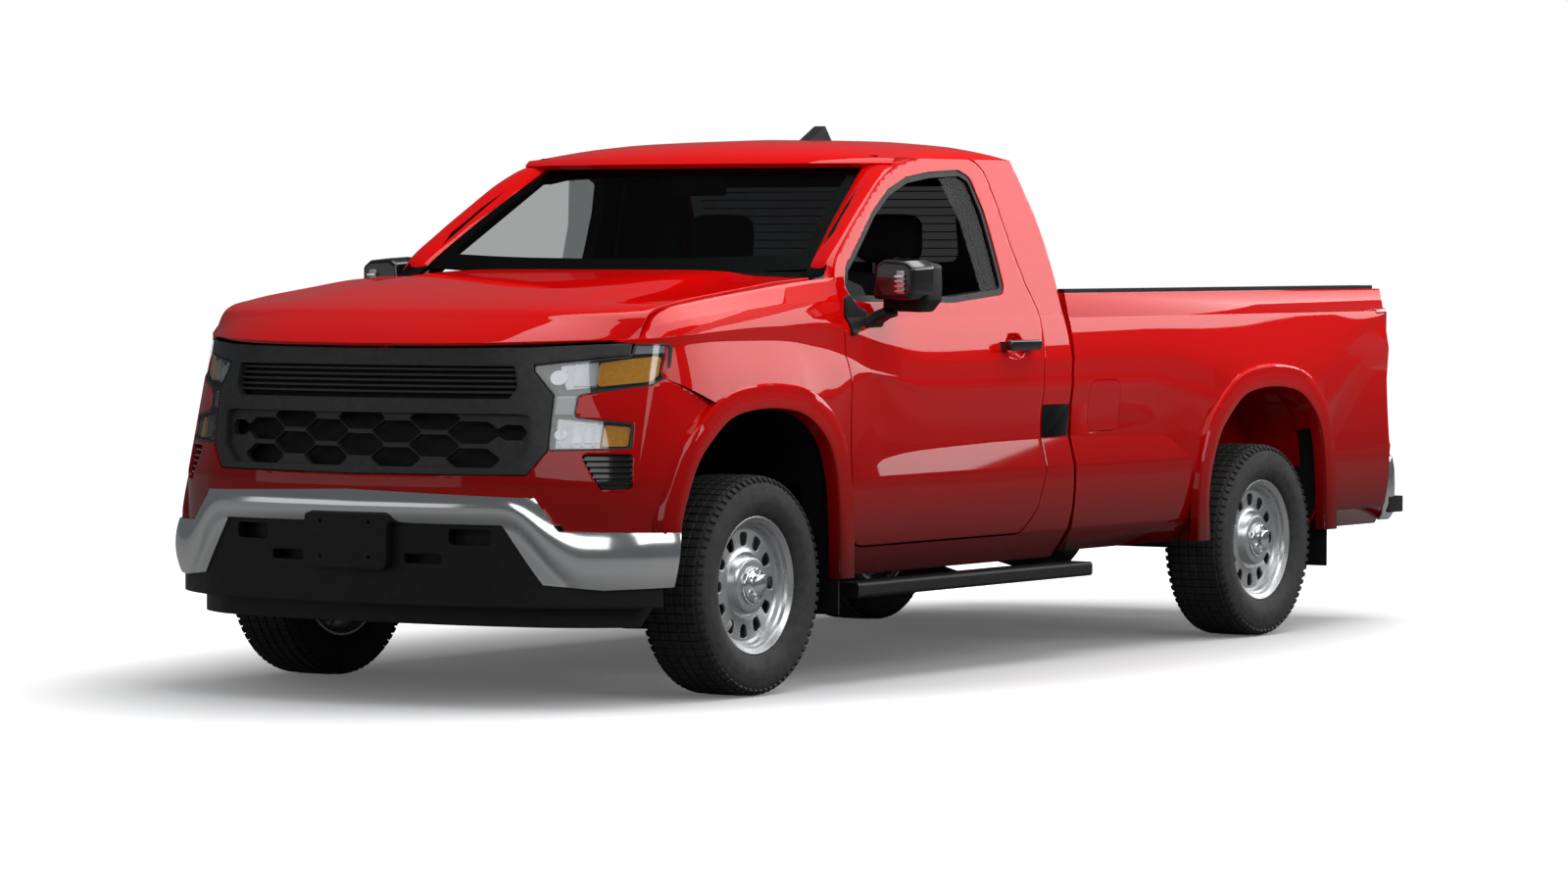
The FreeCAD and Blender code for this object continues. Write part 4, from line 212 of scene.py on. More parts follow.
def finish(name, colour, roughness, metallic=0.0, coat=0.0, specular=0.5, tint=None, wear=None, grain=None,
           shade=None):
    """A finish whose colour, roughness and surface each follow a fine pattern.

    tint: the pattern's scale and detail, and two colours. wear: the same and two roughnesses. grain: the same, and
    the bump's strength and depth. shade: what dims the colour: painted shade, and on the cab the black of what faces
    the cabin.
    """
    material, tree, surface = blank(name)
    settings = {"Base Color": (*colour, 1), "Roughness": roughness, "Metallic": metallic, "Coat Weight": coat,
                "Coat Roughness": COAT_ROUGHNESS, "Specular IOR Level": specular}
    if tint:
        scale, detail, low, high = tint
        ramp = node(tree, "ShaderNodeValToRGB", object_noise(tree, scale, detail))
        for element, position, end in zip(ramp.color_ramp.elements, TINT_EDGES, (low, high)):
            element.position = position
            element.color = (*end, 1)
        settings["Base Color"] = ramp.outputs[0]
        if shade:
            settings["Base Color"] = node(tree, "ShaderNodeVectorMath", ramp.outputs[0], operation="SCALE",
                                          Scale=shade(tree)).outputs[0]
    if wear:
        scale, detail, low, high = wear
        settings["Roughness"] = node(tree, "ShaderNodeMapRange", Value=object_noise(tree, scale, detail),
                                     **{"To Min": low, "To Max": high}).outputs[0]
    if grain:
        scale, detail, strength, depth = grain
        settings["Normal"] = node(tree, "ShaderNodeBump", Strength=strength, Distance=depth,
                                  Height=object_noise(tree, scale, detail)).outputs[0]
    tree.links.new(node(tree, "ShaderNodeBsdfPrincipled", **settings).outputs[0], surface)
    return material


def pane_finish(name, tint, shine_share):
    """See-through, with a little of a mirror in it."""
    material, tree, surface = blank(name)
    through = node(tree, "ShaderNodeBsdfTransparent", (*tint, 1)).outputs[0]
    shine = node(tree, "ShaderNodeBsdfGlossy", WHITE, Roughness=0.01).outputs[0]
    tree.links.new(node(tree, "ShaderNodeMixShader", shine_share, through, shine).outputs[0], surface)
    return material


def make_materials():
    paint = {"colour": (0.62, 0.004, 0.003), "roughness": 0.40, "coat": 0.75, "specular": 0.0,
             "tint": (900.0, 2.0, (0.76, 0.0015, 0.0015), (0.84, 0.003, 0.0025)), "wear": (6.0, 4.0, 0.30, 0.38)}
    return {
        # Both paints carry painted shade that grows darker towards the sills.
        "red_paint": finish("red_paint", **paint, shade=painted_sill_shade),
        "cab_paint": finish("cab_paint", **paint, shade=cab_shade),
        "black_plastic": finish("black_plastic", grey(0.009), 0.5, specular=0.3,
                                tint=(40.0, 4.0, grey(0.007), grey(0.011)), wear=(25.0, 4.0, 0.42, 0.55),
                                grain=(1400.0, 2.0, 0.25, 0.0006)),
        "black_gloss": finish("black_gloss", (0.008, 0.008, 0.009), 0.16, coat=0.6, wear=(14.0, 4.0, 0.12, 0.22)),
        "chrome": finish("chrome", (0.80, 0.81, 0.82), 0.12, 1.0, wear=(9.0, 4.0, 0.10, 0.16)),
        "glass": pane_finish("glass", (0.60, 0.61, 0.61), 0.014),
        "glass_dark": pane_finish("glass_dark", (0.17, 0.17, 0.175), 0.03),
        "lens": pane_finish("lens", (0.93, 0.94, 0.95), 0.06),
        "lamp": finish("lamp_silver", (0.34, 0.35, 0.36), 0.16, 0.9, wear=(30.0, 3.0, 0.08, 0.22)),
        "red_lamp": finish("red_lens", (0.42, 0.004, 0.004), 0.08, coat=1.0,
                           tint=(60.0, 2.0, (0.36, 0.003, 0.003), (0.48, 0.006, 0.006))),
        "grey_plastic": finish("grey_plastic", (0.045, 0.045, 0.046), 0.42, specular=0.35,
                               tint=(40.0, 4.0, (0.038, 0.038, 0.039), (0.052, 0.052, 0.053)),
                               grain=(1400.0, 2.0, 0.2, 0.0005)),
        # Near-black and rough: sooty wheel arch liners, the sheet behind the grille, and painted shade in the gap
        # between cab and bed.
        "soot_and_painted_shade": finish("soot_and_painted_shade", grey(0.004), 0.8, wear=(30.0, 2.0, 0.7, 0.9)),
        "amber": finish("amber_lens", (1.0, 0.42, 0.01), 0.12, coat=1.0,
                        tint=(90.0, 2.0, (0.95, 0.34, 0.006), (1.0, 0.48, 0.015))),
        "lamp_frost": finish("lamp_frost", (0.42, 0.43, 0.44), 0.22, coat=0.8, wear=(60.0, 2.0, 0.16, 0.28)),
        "lamp_bright": finish("lamp_bright", (0.78, 0.79, 0.80), 0.25, 0.4, 0.6, wear=(80.0, 2.0, 0.15, 0.32)),
        "lamp_dark": finish("lamp_dark", (0.03, 0.03, 0.032), 0.3, wear=(60.0, 2.0, 0.25, 0.36)),
        "tyre": finish("tyre_rubber", grey(0.022), 0.72, tint=(30.0, 5.0, grey(0.022), (0.044, 0.044, 0.043)),
                       wear=(45.0, 4.0, 0.62, 0.82), grain=(900.0, 2.0, 0.3, 0.0008)),
        "wheel_silver": finish("wheel_silver", (0.60, 0.61, 0.62), 0.28, 0.85, wear=(18.0, 4.0, 0.22, 0.34),
                               grain=(1200.0, 1.0, 0.08, 0.0003)),
        "frame_black": finish("frame_black", (0.012, 0.012, 0.013), 0.55,
                              tint=(12.0, 5.0, (0.009, 0.009, 0.010), (0.022, 0.020, 0.019))),
        "cast_iron": finish("cast_iron", (0.05, 0.048, 0.046), 0.65, 0.6,
                            tint=(30.0, 5.0, (0.035, 0.032, 0.030), (0.075, 0.068, 0.060)),
                            grain=(300.0, 3.0, 0.4, 0.001)),
        "aluminium": finish("aluminium", (0.42, 0.42, 0.43), 0.42, 0.9, wear=(50.0, 4.0, 0.35, 0.5)),
        "steel": finish("steel", (0.33, 0.33, 0.34), 0.4, 0.9, wear=(40.0, 4.0, 0.34, 0.5)),
        "cloth": finish("seat_cloth", (0.022, 0.022, 0.024), 0.92,
                        tint=(700.0, 2.0, (0.013, 0.013, 0.014), (0.036, 0.036, 0.039)),
                        grain=(1100.0, 2.0, 0.6, 0.0012)),
        "trim": finish("cabin_trim", (0.009, 0.009, 0.010), 0.65, specular=0.2,
                       tint=(30.0, 4.0, (0.007, 0.007, 0.008), (0.012, 0.012, 0.013)),
                       grain=(1300.0, 2.0, 0.3, 0.0006)),
    }


def dress(material, *names):
    for name in names:
        slots = nodes[name].data.materials
        slots.clear()
        slots.append(material)


def soften(width, angle, *names):
    """Joins a node's loose triangles and rounds its edges, by modifiers that stay on it."""
    for name in names:
        piece = nodes[name]
        weld = piece.modifiers.new("weld", "WELD")
        weld.merge_threshold = WELD
        bevel = piece.modifiers.new("bevel", "BEVEL")
        bevel.width = width
        bevel.segments = 2
        bevel.limit_method = "ANGLE"
        bevel.angle_limit = math.radians(angle)
        bevel.harden_normals = True
        bevel.use_clamp_overlap = True
        for face in piece.data.polygons:
            face.use_smooth = True


# ---------------------------------------------------------------- making pieces

DOORS = ("door_left", "door_right")
TRUCK = ("truck", "truck")
SIDES = ((1, "left"), (-1, "right"))
WELD = 0.00005
PANEL_WELD = 0.0001
OUTLINE_STEP = 0.012
FACE_OUTLINE_STEP = 0.02
SLOPE_STEP = 0.0005


def clear():
    bpy.ops.object.select_all(action="DESELECT")


def choose(piece):
    clear()
    piece.select_set(True)
    bpy.context.view_layer.objects.active = piece
    return piece


def editing(piece):
    choose(piece)
    bpy.ops.object.mode_set(mode="EDIT")
    bpy.ops.mesh.select_all(action="SELECT")


def done():
    bpy.ops.object.mode_set(mode="OBJECT")


def apply(piece, kind, **settings):
    """Adds a modifier and applies it."""
    choose(piece)
    made = piece.modifiers.new(kind.lower(), kind)
    for key, value in settings.items():
        setattr(made, key, value)
    bpy.ops.object.modifier_apply(modifier=made.name)
    return piece


def rounded(piece, width, segments=2, angle=30):
    return apply(piece, "BEVEL", width=width, segments=segments, limit_method="ANGLE",
                 angle_limit=math.radians(angle), use_clamp_overlap=True)


def finish_piece(piece, name, material, body, smooth=35):
    """Names a piece, gives it its finish and lets it ride on its body."""
    choose(piece)
    piece.name = name
    piece.data.name = name
    piece.data.materials.clear()
    piece.data.materials.append(materials[material])
    bpy.ops.object.shade_smooth_by_angle(angle=math.radians(smooth))
    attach(piece, body)
    return piece


def settled(piece):
    """Puts a primitive's place into its mesh."""
    choose(piece)
    bpy.ops.object.transform_apply(location=True, rotation=True, scale=True)
    return piece


def block(x_low, x_high, y_low, y_high, z_low, z_high):
    """A box between limits, counted from the front axle."""
    bpy.ops.mesh.primitive_cube_add(size=1, location=((x_low + x_high) / 2, (y_low + y_high) / 2 + AXLE_Y,
                                                      (z_low + z_high) / 2))
    made = bpy.context.active_object
    made.scale = (x_high - x_low, y_high - y_low, z_high - z_low)
    return settled(made)


def drawn_out(places, move):
    """A solid between an outline and where it is moved to."""
    bpy.ops.mesh.primitive_circle_add(vertices=len(places), fill_type="NGON", location=(0, 0, 0))
    made = bpy.context.active_object
    for vertex, place in zip(made.data.vertices, places):
        vertex.co = place
    editing(made)
    bpy.ops.mesh.extrude_region_move(TRANSFORM_OT_translate={"value": move})
    bpy.ops.mesh.select_all(action="SELECT")
    bpy.ops.mesh.normals_make_consistent(inside=False)
    done()
    return made


def prism(axis, outline, low, high):
    """An outline across one axis, counted from the front axle and drawn out along the axis."""
    if axis == "x":
        return drawn_out([(low, u + AXLE_Y, v) for u, v in outline], (high - low, 0, 0))
    if axis == "y":
        return drawn_out([(u, low + AXLE_Y, v) for u, v in outline], (0, high - low, 0))
    return drawn_out([(u, v + AXLE_Y, low) for u, v in outline], (0, 0, high - low))


def flat_prism(outline, low, high):
    """An outline in flat coordinates, drawn out square to them."""
    return drawn_out([(u, v, low) for u, v in outline], (0, 0, high - low))


def rectangle(u_low, u_high, v_low, v_high, radius=0, segments=3):
    points = [(u_low, v_low), (u_high, v_low), (u_high, v_high), (u_low, v_high)]
    return round_corners(points, radius, segments) if radius else points


def round_corners(points, radius, segments=3):
    made = []
    count = len(points)
    for index in range(count):
        corner = Vector(points[index])
        back = Vector(points[index - 1]) - corner
        ahead = Vector(points[(index + 1) % count]) - corner
        turn = math.pi - back.angle(ahead)
        if turn < 0.05:
            made.append(tuple(corner))
            continue
        reach = min(radius * math.tan(turn / 2), back.length * 0.45, ahead.length * 0.45)
        start = corner + back.normalized() * reach
        end = corner + ahead.normalized() * reach
        for step in range(segments + 1):
            t = step / segments
            made.append(tuple(start * (1 - t) ** 2 + corner * 2 * t * (1 - t) + end * t ** 2))
    return made


def skin(rows, wall):
    """A curved panel through rows of points, with a wall under it."""
    wide = len(rows[0])
    bpy.ops.mesh.primitive_grid_add(x_subdivisions=wide - 1, y_subdivisions=len(rows) - 1, size=1)
    made = bpy.context.active_object
    flat = [point for row in rows for point in row]
    for vertex, (x, y, z) in zip(made.data.vertices, flat):
        vertex.co = (x, y + AXLE_Y, z)
    apply(made, "SOLIDIFY", thickness=wall, offset=-1, use_even_offset=False)
    editing(made)
    bpy.ops.mesh.normals_make_consistent(inside=False)
    done()
    return made


def cut(piece, cutters, operation="DIFFERENCE"):
    """Cuts a piece by others with exact booleans."""
    for cutter in cutters:
        apply(piece, "BOOLEAN", object=cutter, operation=operation, solver="EXACT")
        bpy.data.objects.remove(cutter)
    return piece


def moved_out(piece, reach):
    """Moves a piece of the left side away from the truck's middle."""
    for vertex in piece.data.vertices:
        vertex.co.x += reach
    return piece


def copied(piece):
    made = piece.copy()
    made.data = piece.data.copy()
    bpy.context.scene.collection.objects.link(made)
    return made


def mirrored(piece):
    """A copy on the truck's other side, with its faces turned the right way again."""
    made = copied(piece)
    editing(made)
    bpy.ops.transform.resize(value=(-1, 1, 1), center_override=(0, 0, 0))
    bpy.ops.mesh.flip_normals()
    done()
    return made


def joined(pieces):
    clear()
    for piece in pieces:
        piece.select_set(True)
    bpy.context.view_layer.objects.active = pieces[0]
    bpy.ops.object.join()
    return bpy.context.active_object


def smooth_at(table, t, column=1):
    """A value between the rows of a table, on a curve that doesn't overshoot them."""
    if t <= table[0][0]:
        return table[0][column]
    if t >= table[-1][0]:
        return table[-1][column]
    index = max(n for n in range(len(table) - 1) if table[n][0] <= t)
    slopes = []
    for n in (index - 1, index, index + 1):
        if 0 <= n < len(table) - 1:
            slopes.append((table[n + 1][column] - table[n][column]) / (table[n + 1][0] - table[n][0]))
        else:
            slopes.append(None)
    before, here, after = slopes
    start = here if before is None else (0 if before * here <= 0 else 2 * before * here / (before + here))
    end = here if after is None else (0 if after * here <= 0 else 2 * after * here / (after + here))
    span = table[index + 1][0] - table[index][0]
    s = (t - table[index][0]) / span
    low, high = table[index][column], table[index + 1][column]
    return ((2 * s ** 3 - 3 * s ** 2 + 1) * low + (s ** 3 - 2 * s ** 2 + s) * span * start
            + (3 * s ** 2 - 2 * s ** 3) * high + (s ** 3 - s ** 2) * span * end)


def spread(low, high, count):
    return [low + (high - low) * n / (count - 1) for n in range(count)]


def dense(points):
    """An outline with more points on its long edges."""
    made = []
    for start, end in zip(points, points[1:] + points[:1]):
        count = max(1, int((Vector(end) - Vector(start)).length / OUTLINE_STEP))
        for n in range(count):
            made.append(tuple(Vector(start).lerp(Vector(end), n / count)))
    return made


def panel(outline, place, u_lines, v_lines, wall, holes=(), sideways=False):
    """A sheet cut to its outline and holes while it is flat, and then bent into place.

    place gives the outer point for two flat coordinates; the wall goes in from there, square to the surface
    or straight towards the truck's middle.
    """
    bpy.ops.mesh.primitive_grid_add(x_subdivisions=len(u_lines) - 1, y_subdivisions=len(v_lines) - 1, size=1)
    made = bpy.context.active_object
    for vertex, (u, v) in zip(made.data.vertices, [(u, v) for v in v_lines for u in u_lines]):
        vertex.co = (u, v, 1.0)
    apply(made, "SOLIDIFY", thickness=1.0, offset=-1)
    cut(made, [flat_prism(outline, -1.0, 3.0)], "INTERSECT")
    if holes:
        cut(made, [flat_prism(hole, -1.5, 3.5) for hole in holes])
    for vertex in made.data.vertices:
        u, v, w = vertex.co
        outer = Vector(place(u, v))
        inside = w < 0.5
        if inside and sideways:
            outer.x -= wall
        elif inside:
            along = Vector(place(u + SLOPE_STEP, v)) - Vector(place(u - SLOPE_STEP, v))
            across = Vector(place(u, v + SLOPE_STEP)) - Vector(place(u, v - SLOPE_STEP))
            outer -= along.cross(across).normalized() * wall
        vertex.co = outer + Vector((0, AXLE_Y, 0))
    editing(made)
    bpy.ops.mesh.remove_doubles(threshold=PANEL_WELD)
    bpy.ops.mesh.normals_make_consistent(inside=False)
    done()
    return made


# ---------------------------------------------------------------- body side

LEDGE = ((-0.60, 0.714), (0.56, 0.714), (0.66, 0.730), (0.771, 0.772), (1.034, 0.795), (1.823, 0.812),
         (2.708, 0.802), (2.80, 0.775), (2.90, 0.725), (2.96, 0.716), (4.60, 0.716))
HAUNCH_LOW = ((-0.60, 0.880, 1.014), (-0.425, 0.948, 1.028), (-0.319, 0.994, 1.031), (-0.14, 1.035, 1.031),
              (0.041, 1.044, 1.031), (0.207, 1.028, 1.031), (0.300, 1.000, 1.029), (0.370, 0.992, 1.026),
              (0.489, 1.022, 1.017), (0.623, 1.058, 1.004), (0.700, 1.064, 0.999), (0.85, 1.030, 0.9985),
              (1.034, 0.990, 0.9985), (1.20, 0.980, 0.9985), (2.60, 0.978, 0.9985), (2.90, 0.93, 1.006),
              (3.29, 0.872, 1.026), (3.89, 0.855, 1.024), (4.37, 1.05, 0.999), (4.60, 1.13, 0.996))
HAUNCH_TOP = ((-0.60, 1.160, 0.984), (-0.556, 1.171, 0.984), (-0.258, 1.196, 0.985), (0.103, 1.193, 0.985),
              (0.382, 1.166, 0.986), (0.553, 1.128, 0.990), (0.687, 1.082, 0.9965), (0.85, 1.060, 0.9995),
              (1.034, 1.040, 1.0010), (1.20, 1.040, 1.0010), (2.60, 1.039, 1.0010), (2.90, 1.00, 1.0060),
              (3.29, 0.932, 1.026), (3.89, 0.915, 1.024), (4.37, 1.11, 0.997), (4.60, 1.19, 0.993))
CREASE = ((-0.60, 1.204, 0.990), (-0.258, 1.226, 0.991), (0.012, 1.237, 0.992), (0.289, 1.239, 0.992),
          (0.515, 1.221, 0.992), (0.765, 1.171, 0.996), (1.034, 1.109, 1.003), (1.20, 1.101, 1.004),
          (2.60, 1.099, 1.004), (2.746, 1.096, 1.005), (3.05, 1.052, 1.014), (3.286, 0.992, 1.026),
          (3.45, 0.972, 1.030), (3.75, 0.966, 1.030), (3.891, 0.977, 1.026), (4.10, 1.055, 1.010),
          (4.368, 1.170, 0.993), (4.56, 1.2354, 0.985))
NOSE_IN = ((-0.640, -0.190), (-0.60, -0.130), (-0.577, -0.106), (-0.54, -0.072), (-0.505, -0.046),
           (-0.434, -0.018), (-0.36, -0.004), (-0.28, 0.0))
HOOD_SEAM = ((-0.60, 1.130, 0.880), (-0.556, 1.199, 0.885), (-0.530, 1.246, 0.889), (-0.470, 1.292, 0.894),
             (-0.280, 1.324, 0.903), (-0.016, 1.353, 0.911), (0.226, 1.378, 0.920), (0.430, 1.394, 0.922),
             (0.560, 1.402, 0.924))
CAB_TOP = ((1.2627, 0.9654), (1.40, 0.9275), (1.60, 0.8690), (1.76, 0.8180), (1.823, 0.7975))
BED_TOP = ((1.2446, 0.9806), (1.2510, 0.9778), (1.3386, 0.9594))
NOSE_TOP_Z = 1.200
NOSE_LEAN = 0.200
LEDGE_X = 1.0115
LEDGE_Z = 0.714
LEDGE_LEAN = 0.255
# How far each strip between two creases swells out in its middle
BULGES = {1: 0.007, 4: -0.004, 5: 0.002, 7: 0.004}
FLAT = 0.1
FLAT_BEYOND = 5
# Rows of faces in each strip
SIDE_COUNTS = {"fender": (3, 8, 1, 6, 9, 8, 4, 6, 4, 3), "cab": (3, 8, 1, 6, 9, 6, 4, 8, 6, 8, 7, 4),
               "bed": (3, 8, 1, 6, 9, 6, 4, 8, 1, 5)}
CREASE_ROW = 0.25
DOOR_GAP = 0.007


def nose_in(y, z):
    """How far the body draws in towards the front face."""
    return smooth_at(NOSE_IN, y + NOSE_LEAN * max(0, NOSE_TOP_Z - z))


def side_lines(y, top, kept={}):
    """Height and half width of each crease of the body side at one place along the truck, from the rocker up."""
    key = (round(y, 5), top)
    if key in kept:
        return kept[key]
    ledge_z = smooth_at(LEDGE, y)
    ledge_x = LEDGE_X - LEDGE_LEAN * (ledge_z - LEDGE_Z)
    lines = [(0.395 if top == "bed" else 0.375, 0.931), (0.478, 0.990), (0.707, 1.012), (LEDGE_Z, LEDGE_X),
             (ledge_z + 0.004, ledge_x), (smooth_at(HAUNCH_LOW, y), smooth_at(HAUNCH_LOW, y, 2)),
             (smooth_at(HAUNCH_TOP, y), smooth_at(HAUNCH_TOP, y, 2)), (smooth_at(CREASE, y), smooth_at(CREASE, y, 2))]
    crease_z, crease_x = lines[-1]
    if top == "fender":
        seam_z, seam_x = smooth_at(HOOD_SEAM, y), smooth_at(HOOD_SEAM, y, 2)
        seam_z = max(seam_z, crease_z + 0.006)
        lines.append((crease_z + (seam_z - crease_z) * 0.55, crease_x + (seam_x - crease_x) * 0.34))
        lines.append((seam_z - (seam_z - crease_z) * 0.06, seam_x + 0.010))
        lines.append((seam_z, seam_x))
    elif top == "cab":
        lines += CAB_TOP
    else:
        lines += BED_TOP
    kept[key] = [(z, x + nose_in(y, z)) for z, x in lines]
    return kept[key]


def side_point(y, v, top):
    """The outer point for flat coordinates: v goes up by FLAT from crease to crease."""
    lines = side_lines(y, top)
    t = min(max(v / FLAT, 0), len(lines) - 1.000001)
    index = int(t)
    share = t - index
    (low_z, low_x), (high_z, high_x) = lines[index], lines[index + 1]
    bulge = BULGES.get(index, 0) * 4 * share * (1 - share)
    return (low_x + (high_x - low_x) * share + bulge, y, low_z + (high_z - low_z) * share)


def side_flat(y, z, top):
    """The flat coordinates of a place on the body side."""
    lines = side_lines(y, top)
    if z <= lines[0][0]:
        return (y, (z - lines[0][0]) * FLAT * FLAT_BEYOND)
    for index in range(len(lines) - 1):
        low, high = lines[index][0], lines[index + 1][0]
        if z <= high:
            return (y, (index + (z - low) / (high - low)) * FLAT)
    return (y, (len(lines) - 1 + (z - lines[-1][0]) * FLAT_BEYOND) * FLAT)


def side_panel(outline, top, wall, holes=(), step=0.016):
    """A piece of the body side, its outline and holes given by places along the truck and heights."""
    def flat(points):
        return [side_flat(y, z, top) for y, z in dense(points)]

    v_lines = []
    for index, count in enumerate(SIDE_COUNTS[top]):
        shares = [n / count for n in range(count)]
        if count > 2:
            shares = [0, CREASE_ROW / count] + shares[1:] + [1 - CREASE_ROW / count]
        v_lines += [(index + share) * FLAT for share in shares]
    v_lines.append(len(SIDE_COUNTS[top]) * FLAT)
    low = min(y for y, z in outline)
    high = max(y for y, z in outline)
    u_lines = spread(low - 0.01, high + 0.01, int((high - low) / step) + 2)
    return panel(flat(outline), lambda u, v: side_point(u, v, top), u_lines, v_lines, wall,
                 [flat(hole) for hole in holes], sideways=True)


ARCH_SHARES = ((-0.97, 0.000), (-1.00, 0.387), (-0.83, 0.710), (-0.61, 0.860), (-0.40, 0.965), (-0.09, 1.000),
               (0.23, 1.000), (0.545, 0.960), (0.80, 0.830), (0.93, 0.667), (0.99, 0.363), (0.99, 0.000))
FRONT_ARCH_Y = -0.036
REAR_ARCH_Y = 3.503
ARCH_GAP = 0.050
COARSE = 0.03
ARCH_HALF_LENGTH = 0.483
ARCH_HEIGHT = 0.597
WHEEL_X = 0.8705
WHEEL_Z = 0.372
WHEELBASE = 3.545
# How far out and in from the arch's line the lip runs, from the panel round into the opening
FLARE_PROFILE = ((0.084, -0.030), (0.079, -0.004), (0.074, 0.0), (0.040, 0.001), (0.008, 0.0), (0.002, -0.002),
                 (0.0, -0.007), (0.0, -0.050))
FLARE_X = 1.031
FLARE_LEAN = 0.8


def arch_line(centre, grow, low_z, front_low=None):
    """A wheel arch's outline, smoothed, from its front foot over to its rear foot."""
    points = [(centre + y * (ARCH_HALF_LENGTH + grow), WHEEL_Z + z * (ARCH_HEIGHT + grow))
              for y, z in ARCH_SHARES[1:-1]]
    points = [(points[0][0], front_low or low_z)] + points + [(points[-1][0], low_z)]
    for turn in range(2):
        made = [points[0]]
        for start, end in zip(points, points[1:]):
            made.append(tuple(Vector(start).lerp(Vector(end), 0.25)))
            made.append(tuple(Vector(start).lerp(Vector(end), 0.75)))
        points = made + [points[-1]]
    return points


def flare_band(centre, low_z, front_low=None):
    """The raised lip round a wheel arch, from its outer line to the opening and round into it."""
    rows = []
    for grow, out in FLARE_PROFILE:
        row = []
        for y, z in arch_line(centre, grow, low_z, front_low):
            lean = nose_in(y, z) if y < 0 else 0
            row.append((FLARE_X + out + lean * FLARE_LEAN, y, z))
        rows.append(row)
    return skin(rows, 0.004)


DOOR_SHARES = ((0.000, 0.435), (0.000, 1.000), (-0.012, 1.160), (-0.012, 1.290), (0.026, 1.480), (0.140, 1.635),
               (0.246, 1.757), (0.370, 1.891), (0.478, 1.965), (0.603, 1.999), (0.866, 1.999), (0.916, 1.938),
               (0.932, 1.800), (0.951, 1.575), (0.980, 1.387), (1.020, 1.225), (1.000, 1.000), (1.000, 0.640),
               (0.960, 0.510), (0.890, 0.435))
WINDOW_SHARES = ((0.048, 1.373), (0.084, 1.302), (0.581, 1.288), (0.868, 1.326), (0.867, 1.563), (0.861, 1.737),
                 (0.835, 1.911), (0.785, 1.945), (0.624, 1.932), (0.500, 1.905), (0.388, 1.842), (0.278, 1.732),
                 (0.162, 1.575), (0.078, 1.467))
CAB_REAR = ((0.920, 2.060), (0.950, 1.900), (0.979, 1.727), (0.995, 1.550), (1.000, 1.386), (1.000, 0.500),
            (0.980, 0.341))
CAB_FRONT_Y = 0.541
DOOR_LENGTH = 1.300
CAB_LENGTH = 1.499
WINDOW_RISE = 0.723


def along_cab(shares, length=DOOR_LENGTH):
    """Places given by shares of a length and, below 1, of the belt's height and, above, of the window's."""
    return [(CAB_FRONT_Y + y * length, z * BELT_Z if z <= 1 else BELT_Z + (z - 1) * WINDOW_RISE) for y, z in shares]


def grown(points, grow):
    """An outline moved outwards by a distance, corner by corner."""
    count = len(points)
    area = sum(points[n - 1][0] * points[n][1] - points[n][0] * points[n - 1][1] for n in range(count))
    turn = 1 if area > 0 else -1
    made = []
    for n in range(count):
        here = Vector(points[n])
        back = (here - Vector(points[n - 1])).normalized()
        ahead = (Vector(points[(n + 1) % count]) - here).normalized()
        out = Vector((back.y + ahead.y, -back.x - ahead.x)) * turn
        out.normalize()
        lean = max(0.4, out.dot(Vector((ahead.y, -ahead.x)) * turn))
        made.append(tuple(here + out * grow / lean))
    return made


DOOR_LINE = round_corners(along_cab(DOOR_SHARES), 0.10, 5)
WINDOW_LINE = round_corners(along_cab(WINDOW_SHARES), 0.05, 5)
CUP_Y = 1.650
CUP_Z = 1.150
CUP_POINTS = 28
CUP_DEPTH = 0.026
CUP_LINE = [(CUP_Y + 0.065 * math.cos(n * math.tau / CUP_POINTS), CUP_Z + 0.045 * math.sin(n * math.tau / CUP_POINTS))
            for n in range(CUP_POINTS)]


def both_sides(piece, name, material, bodies, replaced=()):
    """A piece and its mirror image, each on its own body."""
    for (_, side), made, body in zip(SIDES, (piece, mirrored(piece)), bodies):
        finish_piece(made, name + "_" + side, material, body)
        for cad in replaced:
            if not cad.endswith(("left", "right")) or cad.endswith(side):
                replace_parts(made, cad)


def window_ring(outer, inner, out, wall):
    """A narrow frame between two outlines on the cab's side, set in or out from it."""
    return moved_out(side_panel(outer, "cab", wall, [inner], COARSE), out)


def make_doors():
    door = side_panel(DOOR_LINE, "cab", 0.050, [WINDOW_LINE, CUP_LINE])
    cup = side_panel(grown(CUP_LINE, 0.001), "cab", 0.004, (), 0.008)
    for vertex in cup.data.vertices:
        y, z = vertex.co.y - AXLE_Y, vertex.co.z
        from_middle = ((y - CUP_Y) / 0.066) ** 2 + ((z - CUP_Z) / 0.046) ** 2
        vertex.co.x -= CUP_DEPTH * max(0.0, 1 - from_middle)
    rounded(door, 0.003, 2, 50)
    door = joined([door, cup])
    both_sides(door, "door_skin", "red_paint", DOORS, ("door_left", "door_right"))
    seal = window_ring(grown(WINDOW_LINE, 0.001), grown(WINDOW_LINE, -0.022), -0.004, 0.052)
    both_sides(seal, "window_seal", "black_plastic", DOORS)
    pane = window_ring(grown(WINDOW_LINE, -0.020), grown(WINDOW_LINE, -0.9), -0.012, 0.004)
    both_sides(pane, "door_pane", "glass", DOORS, ("door_glass_left", "door_glass_right"))


def make_quarters():
    quarter = along_cab(CAB_REAR, CAB_LENGTH) + [(0.533, 0.375), (0.533, 0.52), (1.5, 0.52), (1.5, 1.86)]
    cab = side_panel(quarter, "cab", 0.045, [grown(DOOR_LINE, DOOR_GAP)])
    rounded(cab, 0.003, 2, 50)
    both_sides(cab, "cab_quarter", "red_paint", TRUCK)
    inside = side_panel(quarter, "cab", 0.004, [grown(DOOR_LINE, 0.006)], COARSE)
    both_sides(moved_out(inside, -0.0465), "quarter_lining", "trim", TRUCK)
    # A near-black strip set just inside the gap between cab and bed: painted shade in the gap.
    shade = side_panel(rectangle(2.026, 2.074, 0.40, 1.325), "bed", 0.010, (), COARSE)
    both_sides(moved_out(shade, -0.022), "gap_painted_shade", "soot_and_painted_shade", TRUCK)


